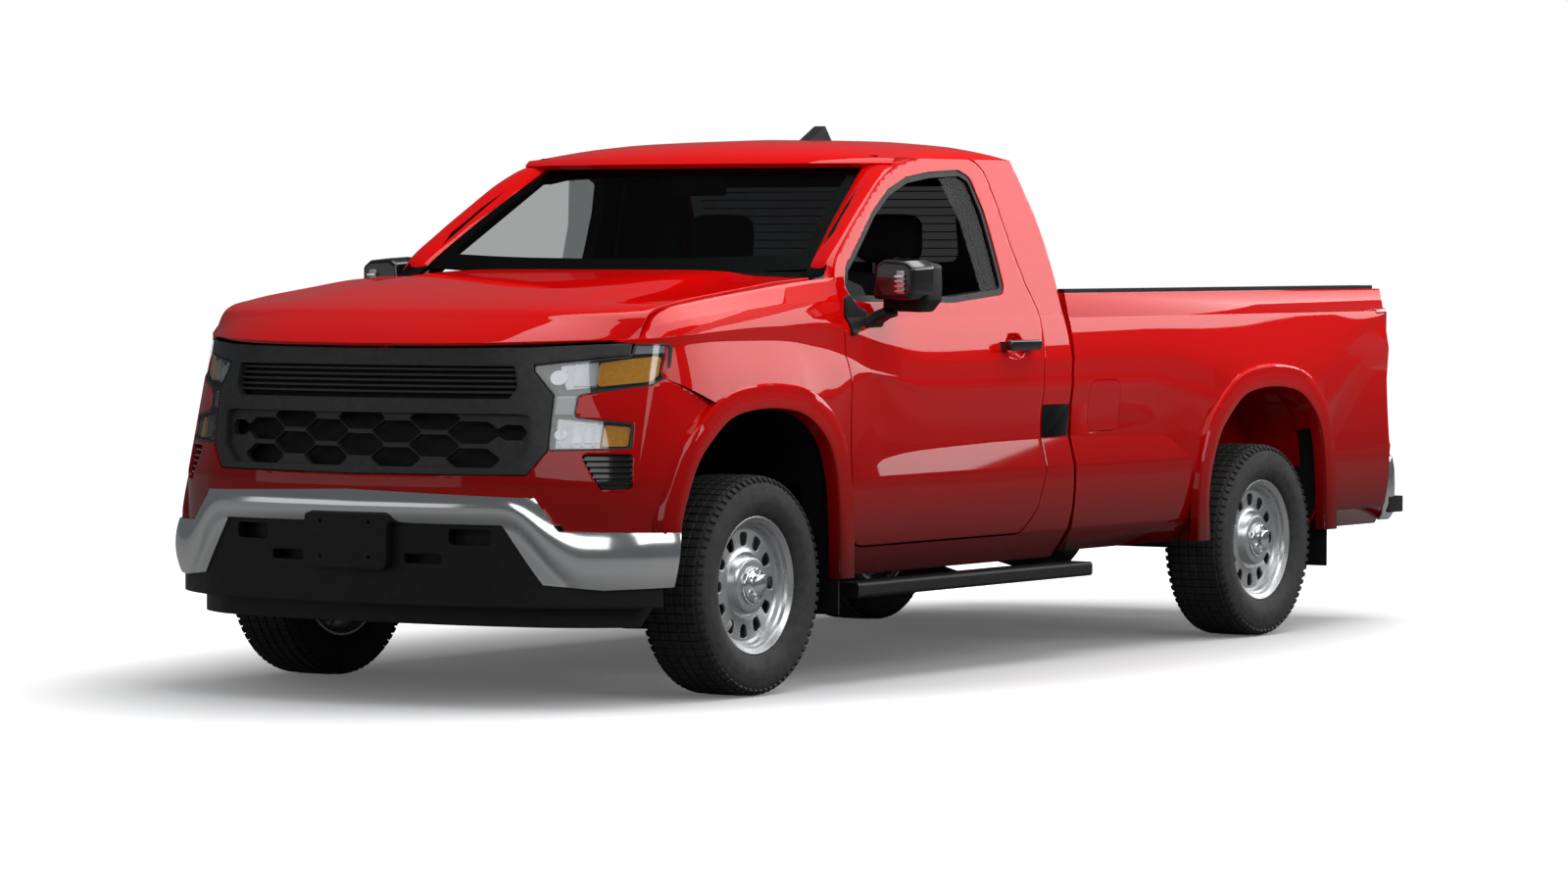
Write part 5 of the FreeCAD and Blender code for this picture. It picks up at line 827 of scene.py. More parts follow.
def make_fenders():
    front_edge = [(-0.036, 0.30), (-0.036, 0.90), (-0.220, 0.949), (-0.449, 1.048), (-0.520, 1.078), (-0.522, 1.100),
                  (-0.500, 1.150), (-0.492, 1.188), (-0.575, 1.190), (-0.640, 1.20), (-0.640, 1.50), (0.600, 1.50),
                  (0.600, 0.30)]
    fender = side_panel(front_edge, "fender", 0.008,
                        [arch_line(FRONT_ARCH_Y, ARCH_GAP, 0.20), grown(DOOR_LINE, DOOR_GAP)])
    rounded(fender, 0.002, 1, 60)
    fender = joined([fender, flare_band(FRONT_ARCH_Y, 0.375, 0.560)])
    both_sides(fender, "fender_skin", "red_paint", TRUCK, ("fenders",))


def bed_side(holes):
    side = side_panel(rectangle(2.060, 4.552, 0.30, 1.50), "bed", 0.012, holes)
    rounded(side, 0.002, 1, 60)
    return joined([side, flare_band(REAR_ARCH_Y, 0.395)])


def make_bed_sides():
    fuel_line = rectangle(2.178, 2.406, 0.830, 1.016, 0.05, 5)
    arch = arch_line(REAR_ARCH_Y, ARCH_GAP, 0.20)
    finish_piece(bed_side([arch, grown(fuel_line, 0.002)]), "bed_skin_left", "red_paint", "truck")
    near_side = bed_side([arch])
    far_side = mirrored(near_side)
    bpy.data.objects.remove(near_side)
    finish_piece(far_side, "bed_skin_right", "red_paint", "truck")
    flap = side_panel(fuel_line, "bed", 0.012)
    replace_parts(finish_piece(flap, "fuel_flap", "red_paint", "fuel_door"), "fuel_door")


# ---------------------------------------------------------------- hood, roof and glass

HOOD_ROWS = ((-0.050, -0.050, -0.013, 0.100), (0.010, 0.010, 0.000, 0.112), (0.060, 0.060, 0.006, 0.130),
             (0.153, 0.153, 0.034, 0.161), (0.334, 0.334, 0.106, 0.267), (0.532, 0.532, 0.237, 0.390),
             (0.660, 0.600, 0.345, 0.448), (0.760, 0.660, 0.440, 0.500), (0.846, 0.700, 0.545, 0.590),
             (0.885, 0.718, 0.640, 0.700), (0.940, 0.730, 0.790, 0.815), (1.000, 0.7386, 1.000, 0.919),
             (1.030, 0.745, 1.130, 1.000))
HOOD_COLUMNS = ((0.00, 0.00, 0.00), (0.25, 0.01, 0.04), (0.42, 0.03, 0.11), (0.50, 0.06, 0.17), (0.62, 0.22, 0.30),
                (0.72, 0.66, 0.45), (0.80, 0.88, 0.60), (0.90, 0.97, 0.80), (1.03, 1.03, 1.06))
HOOD_WIDTH = ((-0.60, 0.877), (-0.556, 0.880), (-0.530, 0.884), (-0.470, 0.889), (-0.280, 0.897), (-0.016, 0.905),
              (0.226, 0.912), (0.430, 0.914))
HOOD_REAR_Y = 0.430
HOOD_LENGTH = 1.335
HOOD_TOP_Z = 1.416
HOOD_FALL = 0.236
HOOD_CURVE = 3.2
HOOD_GAP = 0.003


def hood_point(across, share):
    """A place on the hood: across from the middle, as a share of its half width, and along by its rows."""
    side = abs(across)
    steps = [(n, *row) for n, row in enumerate(HOOD_ROWS)]
    centre_y, side_y, centre_fall, side_fall = [smooth_at(steps, share, c) for c in (1, 2, 3, 4)]
    flat = smooth_at(HOOD_COLUMNS, side, 1)
    nose = smooth_at(HOOD_COLUMNS, side, 2)
    fall = flat + (nose - flat) * max(0, centre_y) ** HOOD_CURVE
    y = HOOD_REAR_Y - (centre_y + (side_y - centre_y) * side ** HOOD_CURVE) * HOOD_LENGTH
    z = HOOD_TOP_Z - (centre_fall + (side_fall - centre_fall) * fall) * HOOD_FALL
    return (across * (smooth_at(HOOD_WIDTH, HOOD_REAR_Y - side_y * HOOD_LENGTH) - HOOD_GAP), y, z)


def make_hood():
    last = len(HOOD_ROWS) - 2
    shares = spread(0.96, last - 2, 64) + spread(last - 1.95, last, 26)
    rows = [[hood_point(across, share) for across in spread(-1, 1, 91)] for share in shares]
    hood = skin(rows, 0.012)
    rounded(hood, 0.004, 3, 50)
    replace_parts(finish_piece(hood, "hood_skin", "red_paint", "hood"), "hood")


ROOF_RIDGE = ((0.965, 1.796), (1.00, 1.820), (1.05, 1.842), (1.15, 1.868), (1.35, 1.890), (1.60, 1.899),
              (1.80, 1.893), (1.92, 1.874), (1.975, 1.848), (2.000, 1.80))
ROOF_DROP = ((0.0, 0.0), (0.40, 0.010), (0.60, 0.027), (0.70, 0.046), (0.76, 0.064), (0.786, 0.078), (0.7965, 0.088))
ROOF_SHARES = (0, 0.012, 0.03, 0.055, 0.09, 0.14, 0.20, 0.27, 0.35, 0.43, 0.51, 0.59, 0.67, 0.75, 0.82, 0.88, 0.93,
               0.96, 0.985, 1.0)
ROOF_HALF = 0.7965
ROOF_FALL = 0.088
ROOF_EDGE_Z = 1.8235
# The windscreen's foot and head: (y, z) in the middle, (y, z) at the end, and the half width
SCREEN_FOOT = ((0.467, 1.414), (0.566, 1.438), 0.818)
SCREEN_HEAD = ((1.015, 1.795), (1.126, 1.787), 0.684)
PILLAR_INNER = ((0.824, 0.548, 1.400), (0.8215, 0.566, 1.437), (0.776, 0.750, 1.565), (0.740, 0.900, 1.660),
                (0.703, 1.049, 1.751), (0.687, 1.122, 1.794), (0.690, 1.150, 1.806))
PILLAR_OUTER = ((0.940, 0.512, 1.330), (0.9145, 0.566, 1.447), (0.8815, 0.714, 1.559), (0.855, 0.852, 1.647),
                (0.8235, 1.013, 1.744), (0.8065, 1.153, 1.798), (0.7985, 1.316, 1.8235))
PILLAR_SWELL = (0.012, -0.016, 0.012)


def roof_front(x):
    return 0.980 + 0.115 * (abs(x) / 0.70) ** 2.2


def roof_point(x, t):
    """A place on the roof: t runs from its front edge to its rear one."""
    y = roof_front(x) + (1.985 - 0.062 * (abs(x) / ROOF_HALF) ** 4 - roof_front(x)) * t
    level = smooth_at(ROOF_RIDGE, 0.975 + 1.01 * t)
    drop = smooth_at(ROOF_DROP, abs(x)) / ROOF_FALL
    return (x, y, ROOF_EDGE_Z + (level - ROOF_EDGE_Z) * (1 - drop) if level > ROOF_EDGE_Z else level)


def make_roof():
    across = spread(-ROOF_HALF, ROOF_HALF, 61)
    roof = skin([[roof_point(x, t) for x in across] for t in ROOF_SHARES], 0.020)
    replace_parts(finish_piece(roof, "roof_skin", "red_paint", "truck"), "roof")


def screen_point(a, t, out=0.0):
    """A place on the windscreen: a runs across from -1 to 1, and t up from 0 to 1."""
    low, high = SCREEN_FOOT, SCREEN_HEAD
    x = a * (low[2] + (high[2] - low[2]) * t)
    y_low = low[0][0] + (low[1][0] - low[0][0]) * abs(a) ** 2.2
    y_high = high[0][0] + (high[1][0] - high[0][0]) * abs(a) ** 2.2
    z_low = low[0][1] + (low[1][1] - low[0][1]) * abs(a) ** 2
    z_high = high[0][1] + (high[1][1] - high[0][1]) * abs(a) ** 2
    arc = 0.018 * 4 * t * (1 - t)
    return (x, y_low + (y_high - y_low) * t - arc * 0.55 - out * 0.55,
            z_low + (z_high - z_low) * t + arc * 0.83 + out * 0.83)


def make_windscreen():
    whole = rectangle(-1, 1, 0, 1, 0.02)
    clear_part = round_corners([(-0.945, 0.13), (0.945, 0.13), (0.940, 0.945), (-0.940, 0.945)], 0.06, 5)
    lines = (spread(-1.02, 1.02, 42), spread(-0.02, 1.02, 14))
    pane = panel(whole, screen_point, *lines, 0.005)
    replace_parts(finish_piece(pane, "windscreen_pane", "glass", "truck"), "windscreen")
    frit = panel(whole, lambda a, t: screen_point(a, t, -0.0065), *lines, 0.002, [clear_part])
    finish_piece(frit, "windscreen_border", "black_plastic", "truck")


def pillar_point(t, s):
    """A place on the windscreen pillar: t runs up it, and s round from the glass to the door."""
    places = []
    for edge in (PILLAR_INNER, PILLAR_OUTER):
        rows = [(n, *place) for n, place in enumerate(edge)]
        places.append(Vector([smooth_at(rows, t * (len(edge) - 1), c) for c in (1, 2, 3)]))
    inner, outer = places
    middle = (inner + outer) / 2 + Vector(PILLAR_SWELL)
    return tuple(inner * (1 - s) ** 2 + middle * 2 * s * (1 - s) + outer * s ** 2)


def make_pillars():
    pillar = skin([[pillar_point(t, s) for s in spread(0, 1, 9)] for t in spread(0, 1, 37)], 0.02)
    both_sides(pillar, "pillar_skin", "red_paint", TRUCK)


# ---------------------------------------------------------------- front face

FACE_UPPER = ((0.0, -0.904), (0.400, -0.869), (0.6325, -0.784), (0.7995, -0.669), (0.8815, -0.578), (0.946, -0.505),
              (0.9735, -0.434), (0.990, -0.34), (0.996, -0.20))
FACE_LOWER = ((0.0, -0.950), (0.347, -0.915), (0.679, -0.836), (0.754, -0.796), (0.880, -0.707), (0.966, -0.613),
              (1.004, -0.528), (1.024, -0.43), (1.031, -0.30))
FACE_TOP_Z = 1.200
FACE_LOW_Z = 0.740
UPPER_STEPS = [(n, *place) for n, place in enumerate(FACE_UPPER)]
LOWER_STEPS = [(n, *place) for n, place in enumerate(FACE_LOWER)]
FACE_STEPS = len(FACE_UPPER) - 1
HALF = 1.012
TALL = 1.100


def front_point(u, z, out=0.0, tuck=0.0):
    """A place on the front face: u runs from the middle round the corner, z is its height."""
    s = min(abs(u) * 10, FACE_STEPS)
    blend = min(1.0, (FACE_TOP_Z - z) / (FACE_TOP_Z - FACE_LOW_Z))
    x = smooth_at(UPPER_STEPS, s) * (1 - blend) + smooth_at(LOWER_STEPS, s) * blend
    y = smooth_at(UPPER_STEPS, s, 2) * (1 - blend) + smooth_at(LOWER_STEPS, s, 2) * blend
    turn = math.radians(90) * (s / FACE_STEPS) ** 1.6
    if callable(out):
        out = out(x, z)
    x += out * math.sin(turn)
    y -= out * math.cos(turn)
    if tuck:
        x *= 1 - tuck * 1.3 * s / FACE_STEPS
        y += tuck * (1 - s / FACE_STEPS)
    return (math.copysign(x, u), y, z)


def front_flat(place):
    """Flat coordinates of a place given by (x, z) on the front or by (side, y, z) on the side."""
    z = place[-1]
    axis, target = (0, abs(place[0])) if len(place) == 2 else (1, place[1])
    low, high = 0.0, 0.8
    for turn in range(22):
        middle = (low + high) / 2
        if front_point(middle, z)[axis] < target:
            low = middle
        else:
            high = middle
    return (math.copysign(low, place[0]), z)


def scaled(shares):
    """Places from shares of the front's half width and height."""
    return [(x * HALF, z * TALL) for x, z in shares]


def whole_outline(half):
    """A half outline from the middle out and back, with its mirror image."""
    return half + [(-place[0], *place[1:]) for place in half[::-1] if abs(place[0]) > 0.0001]


def mirrored_outline(points):
    return [(-x, *rest) for x, *rest in points[::-1]]


def on_side(side, points):
    return points if side > 0 else mirrored_outline(points)


def ring_line(x, z, radius, count):
    turns = spread(0, math.tau, count + 1)[:-1]
    return [(x + radius * math.cos(turn), z + radius * math.sin(turn)) for turn in turns]


def face_panel(outline, out, wall, holes=(), step=0.014, tuck=0.0):
    """A piece of the front face that stands out from it, or in where out is less than 0."""
    def flat(points):
        return [front_flat(place) for place in points]

    u_places = [place[0] for place in flat(outline)]
    low_z = min(place[-1] for place in outline)
    high_z = max(place[-1] for place in outline)
    u_lines = spread(min(u_places) - 0.01, max(u_places) + 0.01, int((max(u_places) - min(u_places)) / step * 1.6) + 3)
    v_lines = spread(low_z - 0.005, high_z + 0.005, int((high_z - low_z) / step) + 3)
    return panel(flat(dense_mixed(outline)), lambda u, z: front_point(u, z, out, tuck), u_lines, v_lines, wall,
                 [flat(dense_mixed(hole)) for hole in holes])


def dense_mixed(points):
    """As dense, for an outline that may run from places on the front to places on the side."""
    made = []
    for start, end in zip(points, points[1:] + points[:1]):
        if len(start) != len(end):
            made.append(start)
            continue
        count = max(1, int(math.dist(start, end) / FACE_OUTLINE_STEP))
        for n in range(count):
            made.append(tuple(a + (b - a) * n / count for a, b in zip(start, end)))
    return made


GRILLE = ((0.000, 1.068), (0.600, 1.073), (0.868, 1.086), (0.868, 1.047), (0.625, 1.019), (0.627, 1.000),
          (0.688, 0.930), (0.686, 0.765), (0.628, 0.693), (0.000, 0.690))
LAMP = ((0.625, 1.019), (0.868, 1.047), (0.870, 1.085), (0.952, 1.083), (0.956, 0.985), (0.925, 0.957), (0.757, 0.929),
        (0.752, 0.867), (0.900, 0.848), (0.905, 0.770), (0.686, 0.765), (0.688, 0.930), (0.627, 1.000))
VENT = ((0.775, 0.757), (0.908, 0.757), (0.920, 0.652), (0.842, 0.650))
BUMPER = ((0.000, 0.645), (0.664, 0.627), (0.738, 0.530), (0.995, 0.522), (0.988, 0.360), (0.850, 0.354),
          (0.690, 0.370), (0.560, 0.545), (0.000, 0.548))
VALANCE = ((0.000, 0.556), (0.570, 0.553), (0.700, 0.385), (0.975, 0.378), (0.975, 0.300), (0.000, 0.300))
DAM = ((0.000, 0.306), (0.985, 0.306), (0.955, 0.238), (0.000, 0.240))


LAMP_LINE = round_corners(scaled(LAMP), 0.012, 2)


def make_fascia():
    vent = round_corners(scaled(VENT), 0.012, 2)
    grille = whole_outline(scaled(GRILLE))
    outline = whole_outline([(0.0, 0.60), (0.745, 0.60), (0.760, 0.556), (1, -0.26, 0.556), (1, -0.22, 0.947),
                             (1, -0.30, 0.980), (1, -0.449, 1.046), (1, -0.520, 1.075), (0.930, 1.090), (0.0, 1.100)])
    arch = [(1, y, z) for y, z in arch_line(FRONT_ARCH_Y, ARCH_GAP, 0.50) if y < -0.23]
    arch += [(1, -0.20, arch[-1][2]), (1, -0.20, 0.50)]
    holes = [grown(grille, 0.002)]
    for hole in (LAMP_LINE, vent, arch):
        holes += [hole, mirrored_outline(hole)]
    fascia = face_panel(outline, 0.0, 0.035, holes)
    rounded(fascia, 0.004, 2, 50)
    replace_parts(finish_piece(fascia, "fascia_skin", "red_paint", "truck"), "front_fascia")
    for side, name in SIDES:
        pieces = [face_panel(on_side(side, vent), -0.030, 0.004)]
        for z in [0.735 + 0.019 * n for n in range(5)]:
            pieces.append(face_panel(on_side(side, rectangle(0.790, 0.925, z, z + 0.006)), -0.008, 0.022))
        finish_piece(joined(pieces), "vent_" + name, "black_gloss", "truck")


CELL_LONG, CELL_SHORT, CELL_HALF_HEIGHT = 0.102, 0.050, 0.0365
CELL_PITCH = 0.145
CELL_ROWS = (0.943, 0.899, 0.855, 0.811)


def hexagon(x, z):
    a, b, h = CELL_LONG, CELL_SHORT, CELL_HALF_HEIGHT
    return [(x + a, z), (x + b, z + h), (x - b, z + h), (x - a, z), (x - b, z - h), (x + b, z - h)]


def make_grille():
    outline = whole_outline(scaled(GRILLE))
    slot = round_corners([(-0.560, 1.010), (0.560, 1.010), (0.585, 1.050), (0.572, 1.118), (-0.572, 1.118),
                          (-0.585, 1.050)], 0.012, 3)
    net = round_corners([(-0.565, 0.785), (0.565, 0.785), (0.632, 0.840), (0.632, 0.955), (0.590, 0.962),
                         (-0.590, 0.962), (-0.632, 0.955), (-0.632, 0.840)], 0.02, 3)
    frame_piece = face_panel(grown(outline, -0.002), -0.004, 0.030, [slot, net])
    rounded(frame_piece, 0.005, 2, 50)
    cells = []
    for row, z in enumerate(CELL_ROWS):
        for step in (-3, -1, 1, 3) if row % 2 else (-2, 0, 2):
            cells.append(round_corners(hexagon(CELL_PITCH * step, z), 0.010, 2))
    for side, _ in SIDES:
        cells.append(round_corners([(side * 0.545, 0.925), (side * 0.600, 0.925), (side * 0.618, 0.900),
                                    (side * 0.600, 0.875), (side * 0.545, 0.875), (side * 0.500, 0.900)], 0.008, 2))
    web = face_panel(grown(net, 0.006), -0.026, 0.022, cells)
    rounded(web, 0.0035, 2, 50)
    finish_piece(web, "grille_web", "grey_plastic", "truck")
    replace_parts(finish_piece(frame_piece, "grille_frame", "grey_plastic", "truck"), "grille")
    slats = [face_panel(rectangle(-0.575, 0.575, z, z + 0.007), -0.020, 0.014)
             for z in [1.028 + 0.0185 * n for n in range(5)]]
    finish_piece(joined(slats), "grille_slats", "grey_plastic", "truck")
    back = joined([face_panel(grown(slot, 0.01), -0.050, 0.004), face_panel(grown(net, 0.006), -0.080, 0.004)])
    finish_piece(back, "grille_back", "soot_and_painted_shade", "truck")


AMBER = ((0.806, 1.050), (0.806, 1.126), (0.860, 1.138), (0.948, 1.150), (0.948, 1.085), (0.930, 1.066))
MARKER = ((0.838, 0.856), (0.838, 0.926), (0.904, 0.918), (0.904, 0.856))
UPPER_BOWL = ((0.700, 1.098), (0.700, 1.120), (0.800, 1.140), (0.800, 1.048), (0.722, 1.040))
LOWER_BOWL = ((0.706, 0.850), (0.706, 0.945), (0.830, 0.930), (0.830, 0.850))
UPPER_MIRROR = ((0.742, 1.050), (0.742, 1.120), (0.800, 1.130), (0.800, 1.052))
LOWER_MIRROR = ((0.752, 0.866), (0.752, 0.922), (0.828, 0.914), (0.828, 0.866))
STRIP = ((0.884, 1.156), (0.954, 1.160), (0.954, 1.184), (0.886, 1.187))
BAR = ((0.702, 0.960), (0.702, 1.020), (0.752, 1.020), (0.752, 0.960))


def upright(x, width, z_low, z_high):
    return [(x, z_low), (x, z_high), (x + width, z_high), (x + width, z_low)]


def make_headlamps():
    bowls = [(UPPER_BOWL, -0.034, 0.010), (LOWER_BOWL, -0.034, 0.010)]
    bowls += [(upright(0.722 + 0.030 * n, 0.006, 0.858, 0.934), -0.016, 0.020) for n in range(4)]
    mirrors = [(UPPER_MIRROR, -0.026, 0.006), (LOWER_MIRROR, -0.026, 0.006)]
    mirrors += [(upright(0.746 + 0.011 * n, 0.004, 1.054, 1.124), -0.018, 0.010) for n in range(5)]
    mirrors += [(ring_line(0.700, 1.080, 0.024, 20), -0.020, 0.012),
                (ring_line(0.722, 0.895, 0.018, 20), -0.020, 0.012)]
    amber = [(round_corners(AMBER, 0.010, 2), -0.014, 0.014), (round_corners(MARKER, 0.008, 2), -0.014, 0.014)]
    ribs = [(STRIP, -0.012, 0.012), (BAR, -0.020, 0.010)]
    ribs += [(rectangle(0.702, 0.752, z, z + 0.005), -0.013, 0.010) for z in [0.963 + 0.0095 * n for n in range(6)]]
    for side, name in SIDES:
        rim = face_panel(on_side(side, grown(LAMP_LINE, -0.001)), -0.003, 0.050,
                         [on_side(side, grown(LAMP_LINE, -0.006))])
        back = face_panel(on_side(side, grown(LAMP_LINE, -0.002)), -0.050, 0.004)
        finish_piece(joined([rim, back]), "lamp_housing_" + name, "lamp_dark", "truck")
        for sheets, kind, material in ((bowls, "lamp_reflector_", "lamp"), (mirrors, "lamp_bright_", "lamp_bright"),
                                       (amber, "lamp_amber_", "amber"), (ribs, "lamp_strip_", "lamp_frost")):
            pieces = [face_panel(on_side(side, line), out, wall) for line, out, wall in sheets]
            piece = finish_piece(joined(pieces), kind + name, material, "truck")
            if side > 0 and sheets is bowls:
                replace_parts(piece, "headlamps")
        cover = face_panel(on_side(side, grown(LAMP_LINE, -0.004)), -0.002, 0.003)
        finish_piece(cover, "lamp_cover_" + name, "lens", "truck")


# From the bumper's bar, and where it turns down, to its wings
BUMPER_MIDDLE_Z = (0.655, 0.490)
BUMPER_HALF_HEIGHT = (0.062, 0.110)
WING_FROM_X = 0.58
WING_TURN = 0.24
BUMPER_OUT = 0.020
BUMPER_SWELL = 0.026


def bumper_out(x, z):
    """How far the bumper stands out: most along the middle of its bar and of its wings."""
    wing = min(1.0, max(0.0, (abs(x) - WING_FROM_X) / WING_TURN))
    wing = wing * wing * (3 - 2 * wing)
    centre, half = [bar + (end - bar) * wing for bar, end in (BUMPER_MIDDLE_Z, BUMPER_HALF_HEIGHT)]
    return BUMPER_OUT + BUMPER_SWELL * max(0.0, 1 - ((z - centre) / half) ** 2)


def make_front_bumper():
    bumper = face_panel(whole_outline(scaled(BUMPER)), bumper_out, 0.060)
    rounded(bumper, 0.018, 5, 50)
    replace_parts(finish_piece(bumper, "bumper_face", "chrome", "truck", 60), "front_bumper")
    tow = [rectangle(x - 0.075, x + 0.075, 0.532, 0.584, 0.014) for x in (-0.45, 0.45)]
    slots = [rectangle(x - 0.070, x + 0.070, 0.468, 0.500, 0.008, 2) for x in (-0.28, 0.28)]
    valance = face_panel(whole_outline(scaled(VALANCE)), 0.012, 0.030, tow + slots)
    rounded(valance, 0.005, 2, 50)
    lip_line = whole_outline([(0.0, 0.432), (0.640, 0.432), (0.700, 0.385), (0.985, 0.385), (0.985, 0.330),
                              (0.0, 0.330)])
    lip = face_panel(lip_line, 0.016, 0.050, tuck=0.030)
    rounded(lip, 0.010, 3, 50)
    back = face_panel(whole_outline([(0.0, 0.600), (0.560, 0.598), (0.690, 0.430), (0.0, 0.400)]), -0.040, 0.004)
    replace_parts(finish_piece(joined([valance, lip, back]), "valance_skin", "black_plastic", "truck"), "valance")
    dam = face_panel(whole_outline(scaled(DAM)), 0.0, 0.012, tuck=0.075)
    rounded(dam, 0.004, 2, 50)
    finish_piece(dam, "air_dam", "black_plastic", "truck")


def make_plate_bracket():
    plate = round_corners([(-0.166, 0.448), (0.166, 0.448), (0.170, 0.630), (-0.170, 0.630)], 0.022, 4)
    holes = [rectangle(x - 0.006, x + 0.006, z - 0.006, z + 0.006, 0.006)
             for x in (-0.10, 0.10) for z in (0.486, 0.602)]
    bracket = face_panel(plate, 0.052, 0.034, holes)
    rounded(bracket, 0.005, 3, 50)
    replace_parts(finish_piece(bracket, "plate_holder", "black_plastic", "truck"), "plate_bracket")


def make_bumper_sensors():
    spots = [ring_line(side * x, z, 0.011, 12) for x, z in ((0.347, 0.655), (0.720, 0.545)) for side, _ in SIDES]
    sensors = [face_panel(spot, 0.0365, 0.01, step=0.01) for spot in spots]
    finish_piece(joined(sensors), "bumper_sensors", "black_plastic", "truck")


# ---------------------------------------------------------------- wheels

def turned(profile, steps):
    """A profile of places along the axle and radii, turned round the axle."""
    bpy.ops.mesh.primitive_circle_add(vertices=len(profile), fill_type="NOTHING", location=(0, 0, 0))
    made = bpy.context.active_object
    for vertex, (x, radius) in zip(made.data.vertices, profile):
        vertex.co = (x, 0, radius)
    editing(made)
    bpy.ops.mesh.spin(steps=steps, angle=math.tau, center=(0, 0, 0), axis=(1, 0, 0))
    bpy.ops.mesh.select_all(action="SELECT")
    bpy.ops.mesh.remove_doubles(threshold=WELD)
    bpy.ops.mesh.normals_make_consistent(inside=False)
    done()
    return made


def ringed(piece, count):
    """Repeats a piece round the axle."""
    clear()
    bpy.ops.object.empty_add(location=(0, 0, 0), rotation=(math.tau / count, 0, 0))
    turn = bpy.context.active_object
    apply(piece, "ARRAY", count=count, use_relative_offset=False, use_object_offset=True, offset_object=turn)
    bpy.data.objects.remove(turn)
    return piece


def plain_box(x_low, x_high, y_low, y_high, z_low, z_high):
    return block(x_low, x_high, y_low - AXLE_Y, y_high - AXLE_Y, z_low, z_high)


TYRE_PROFILE = ((0.096, 0.232), (0.106, 0.236), (0.116, 0.248), (0.1235, 0.268), (0.1245, 0.272), (0.1262, 0.276),
                (0.1272, 0.292), (0.1270, 0.312), (0.1262, 0.316), (0.1250, 0.320), (0.1245, 0.334), (0.118, 0.350),
                (0.104, 0.361), (0.098, 0.3625), (0.0, 0.3645))
RIM_PROFILE = ((0.1025, 0.2330), (0.1025, 0.2275), (0.0960, 0.2205), (0.0915, 0.2120), (0.0800, 0.2080),
               (0.0745, 0.2010), (0.0600, 0.1965), (0.0535, 0.1890), (0.0520, 0.1800), (0.0520, 0.1300),
               (0.0580, 0.1120), (0.0760, 0.1020), (0.0860, 0.0920), (0.0880, 0.0800), (0.0880, 0.0250),
               (0.0780, 0.0250), (0.0780, 0.0800), (0.0500, 0.0960), (0.0440, 0.1100), (0.0430, 0.1300),
               (0.0430, 0.1850), (0.0460, 0.2000), (0.0300, 0.2070), (-0.0920, 0.2070), (-0.0950, 0.2240),
               (-0.1025, 0.2240), (-0.1025, 0.2330), (-0.0880, 0.2330), (-0.0840, 0.2150), (0.0840, 0.2150),
               (0.0920, 0.2330))
CAP_PROFILE = ((0.0880, 0.0640), (0.0960, 0.0640), (0.1010, 0.0600), (0.1040, 0.0520), (0.1080, 0.0380),
               (0.1200, 0.0350), (0.1230, 0.0300), (0.1235, 0.0), (0.0880, 0.0))


def make_tyre():
    """A carcass, and round it one pitch of the tread's blocks as often as it goes."""
    half = list(TYRE_PROFILE)
    carcass = turned(half + [(-x, r) for x, r in half[-2::-1]] + [(-0.090, 0.250), (0.090, 0.250)], 96)
    blocks = []
    for low, high, top in ((-0.0150, 0.0150, 0.3715), (0.0210, 0.0560, 0.3712), (-0.0560, -0.0210, 0.3712),
                           (0.0620, 0.0960, 0.3695), (-0.0960, -0.0620, 0.3695)):
        blocks.append(plain_box(low, high, -0.0135, 0.0135, 0.355, top))
    for sign, _ in SIDES:
        shoulder = plain_box(-0.0105, 0.0105, -0.0085, 0.0085, -0.0150, 0.0150)
        editing(shoulder)
        bpy.ops.transform.rotate(value=math.radians(-38 * sign), orient_axis="Y", center_override=(0, 0, 0))
        bpy.ops.transform.translate(value=(sign * 0.1085, 0, 0.3485))
        done()
        blocks.append(shoulder)
    pitch = joined(blocks)
    rounded(pitch, 0.0015, 1, 40)
    return joined([carcass, ringed(pitch, 72)])


def make_rim():
    rim = turned(list(RIM_PROFILE), 96)
    slot = round_corners([(-0.0145, 0.131), (0.0145, 0.131), (0.0265, 0.179), (-0.0265, 0.179)], 0.020, 5)
    cutter = prism("x", [(y - AXLE_Y, z) for y, z in slot], 0.02, 0.075)
    ringed(cutter, 12)
    cut(rim, [cutter])
    rounded(rim, 0.0022, 2, 35)
    return rim


def make_cap():
    cap = turned(list(CAP_PROFILE), 48)
    bpy.ops.mesh.primitive_cylinder_add(vertices=20, radius=0.0130, depth=0.020, location=(0.100, 0, 0.0475),
                                        rotation=(0, math.pi / 2, 0))
    lobe = settled(bpy.context.active_object)
    rounded(lobe, 0.004, 3, 40)
    return joined([cap, ringed(lobe, 6)])


def make_wheels():
    parts = ((make_tyre(), "tyre_", "tyre", 30, "tyre_"), (make_rim(), "wheel_", "wheel_silver", 30, "rim_"),
             (make_cap(), "hub_cap_", "chrome", 40, None))
    for piece, prefix, material, smooth, cad in parts:
        for corner, side, y in (("front_left", 1, 0.0), ("front_right", -1, 0.0), ("rear_left", 1, WHEELBASE),
                                ("rear_right", -1, WHEELBASE)):
            made = copied(piece)
            editing(made)
            bpy.ops.transform.translate(value=(WHEEL_X, y + AXLE_Y, WHEEL_Z))
            done()
            if side < 0:
                near_side = made
                made = mirrored(near_side)
                bpy.data.objects.remove(near_side)
            finish_piece(made, prefix + corner + "_shown", material, "wheel_" + corner, smooth)
            if cad:
                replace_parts(made, cad + corner)
        bpy.data.objects.remove(piece)


def make_liners():
    pieces = []
    for centre, low_z, inside in ((REAR_ARCH_Y, 0.400, 0.700), (FRONT_ARCH_Y, 0.380, 0.760)):
        line = arch_line(centre, 0.030, low_z, 0.500 if centre < 0 else None)
        rows = [[(x, y, z) for y, z in line] for x in (1.004, (1.004 + inside) / 2, inside)]
        pieces.append(skin(rows, 0.004))
    liner = joined(pieces)
    finish_piece(joined([liner, mirrored(liner)]), "arch_liners", "soot_and_painted_shade", "truck")


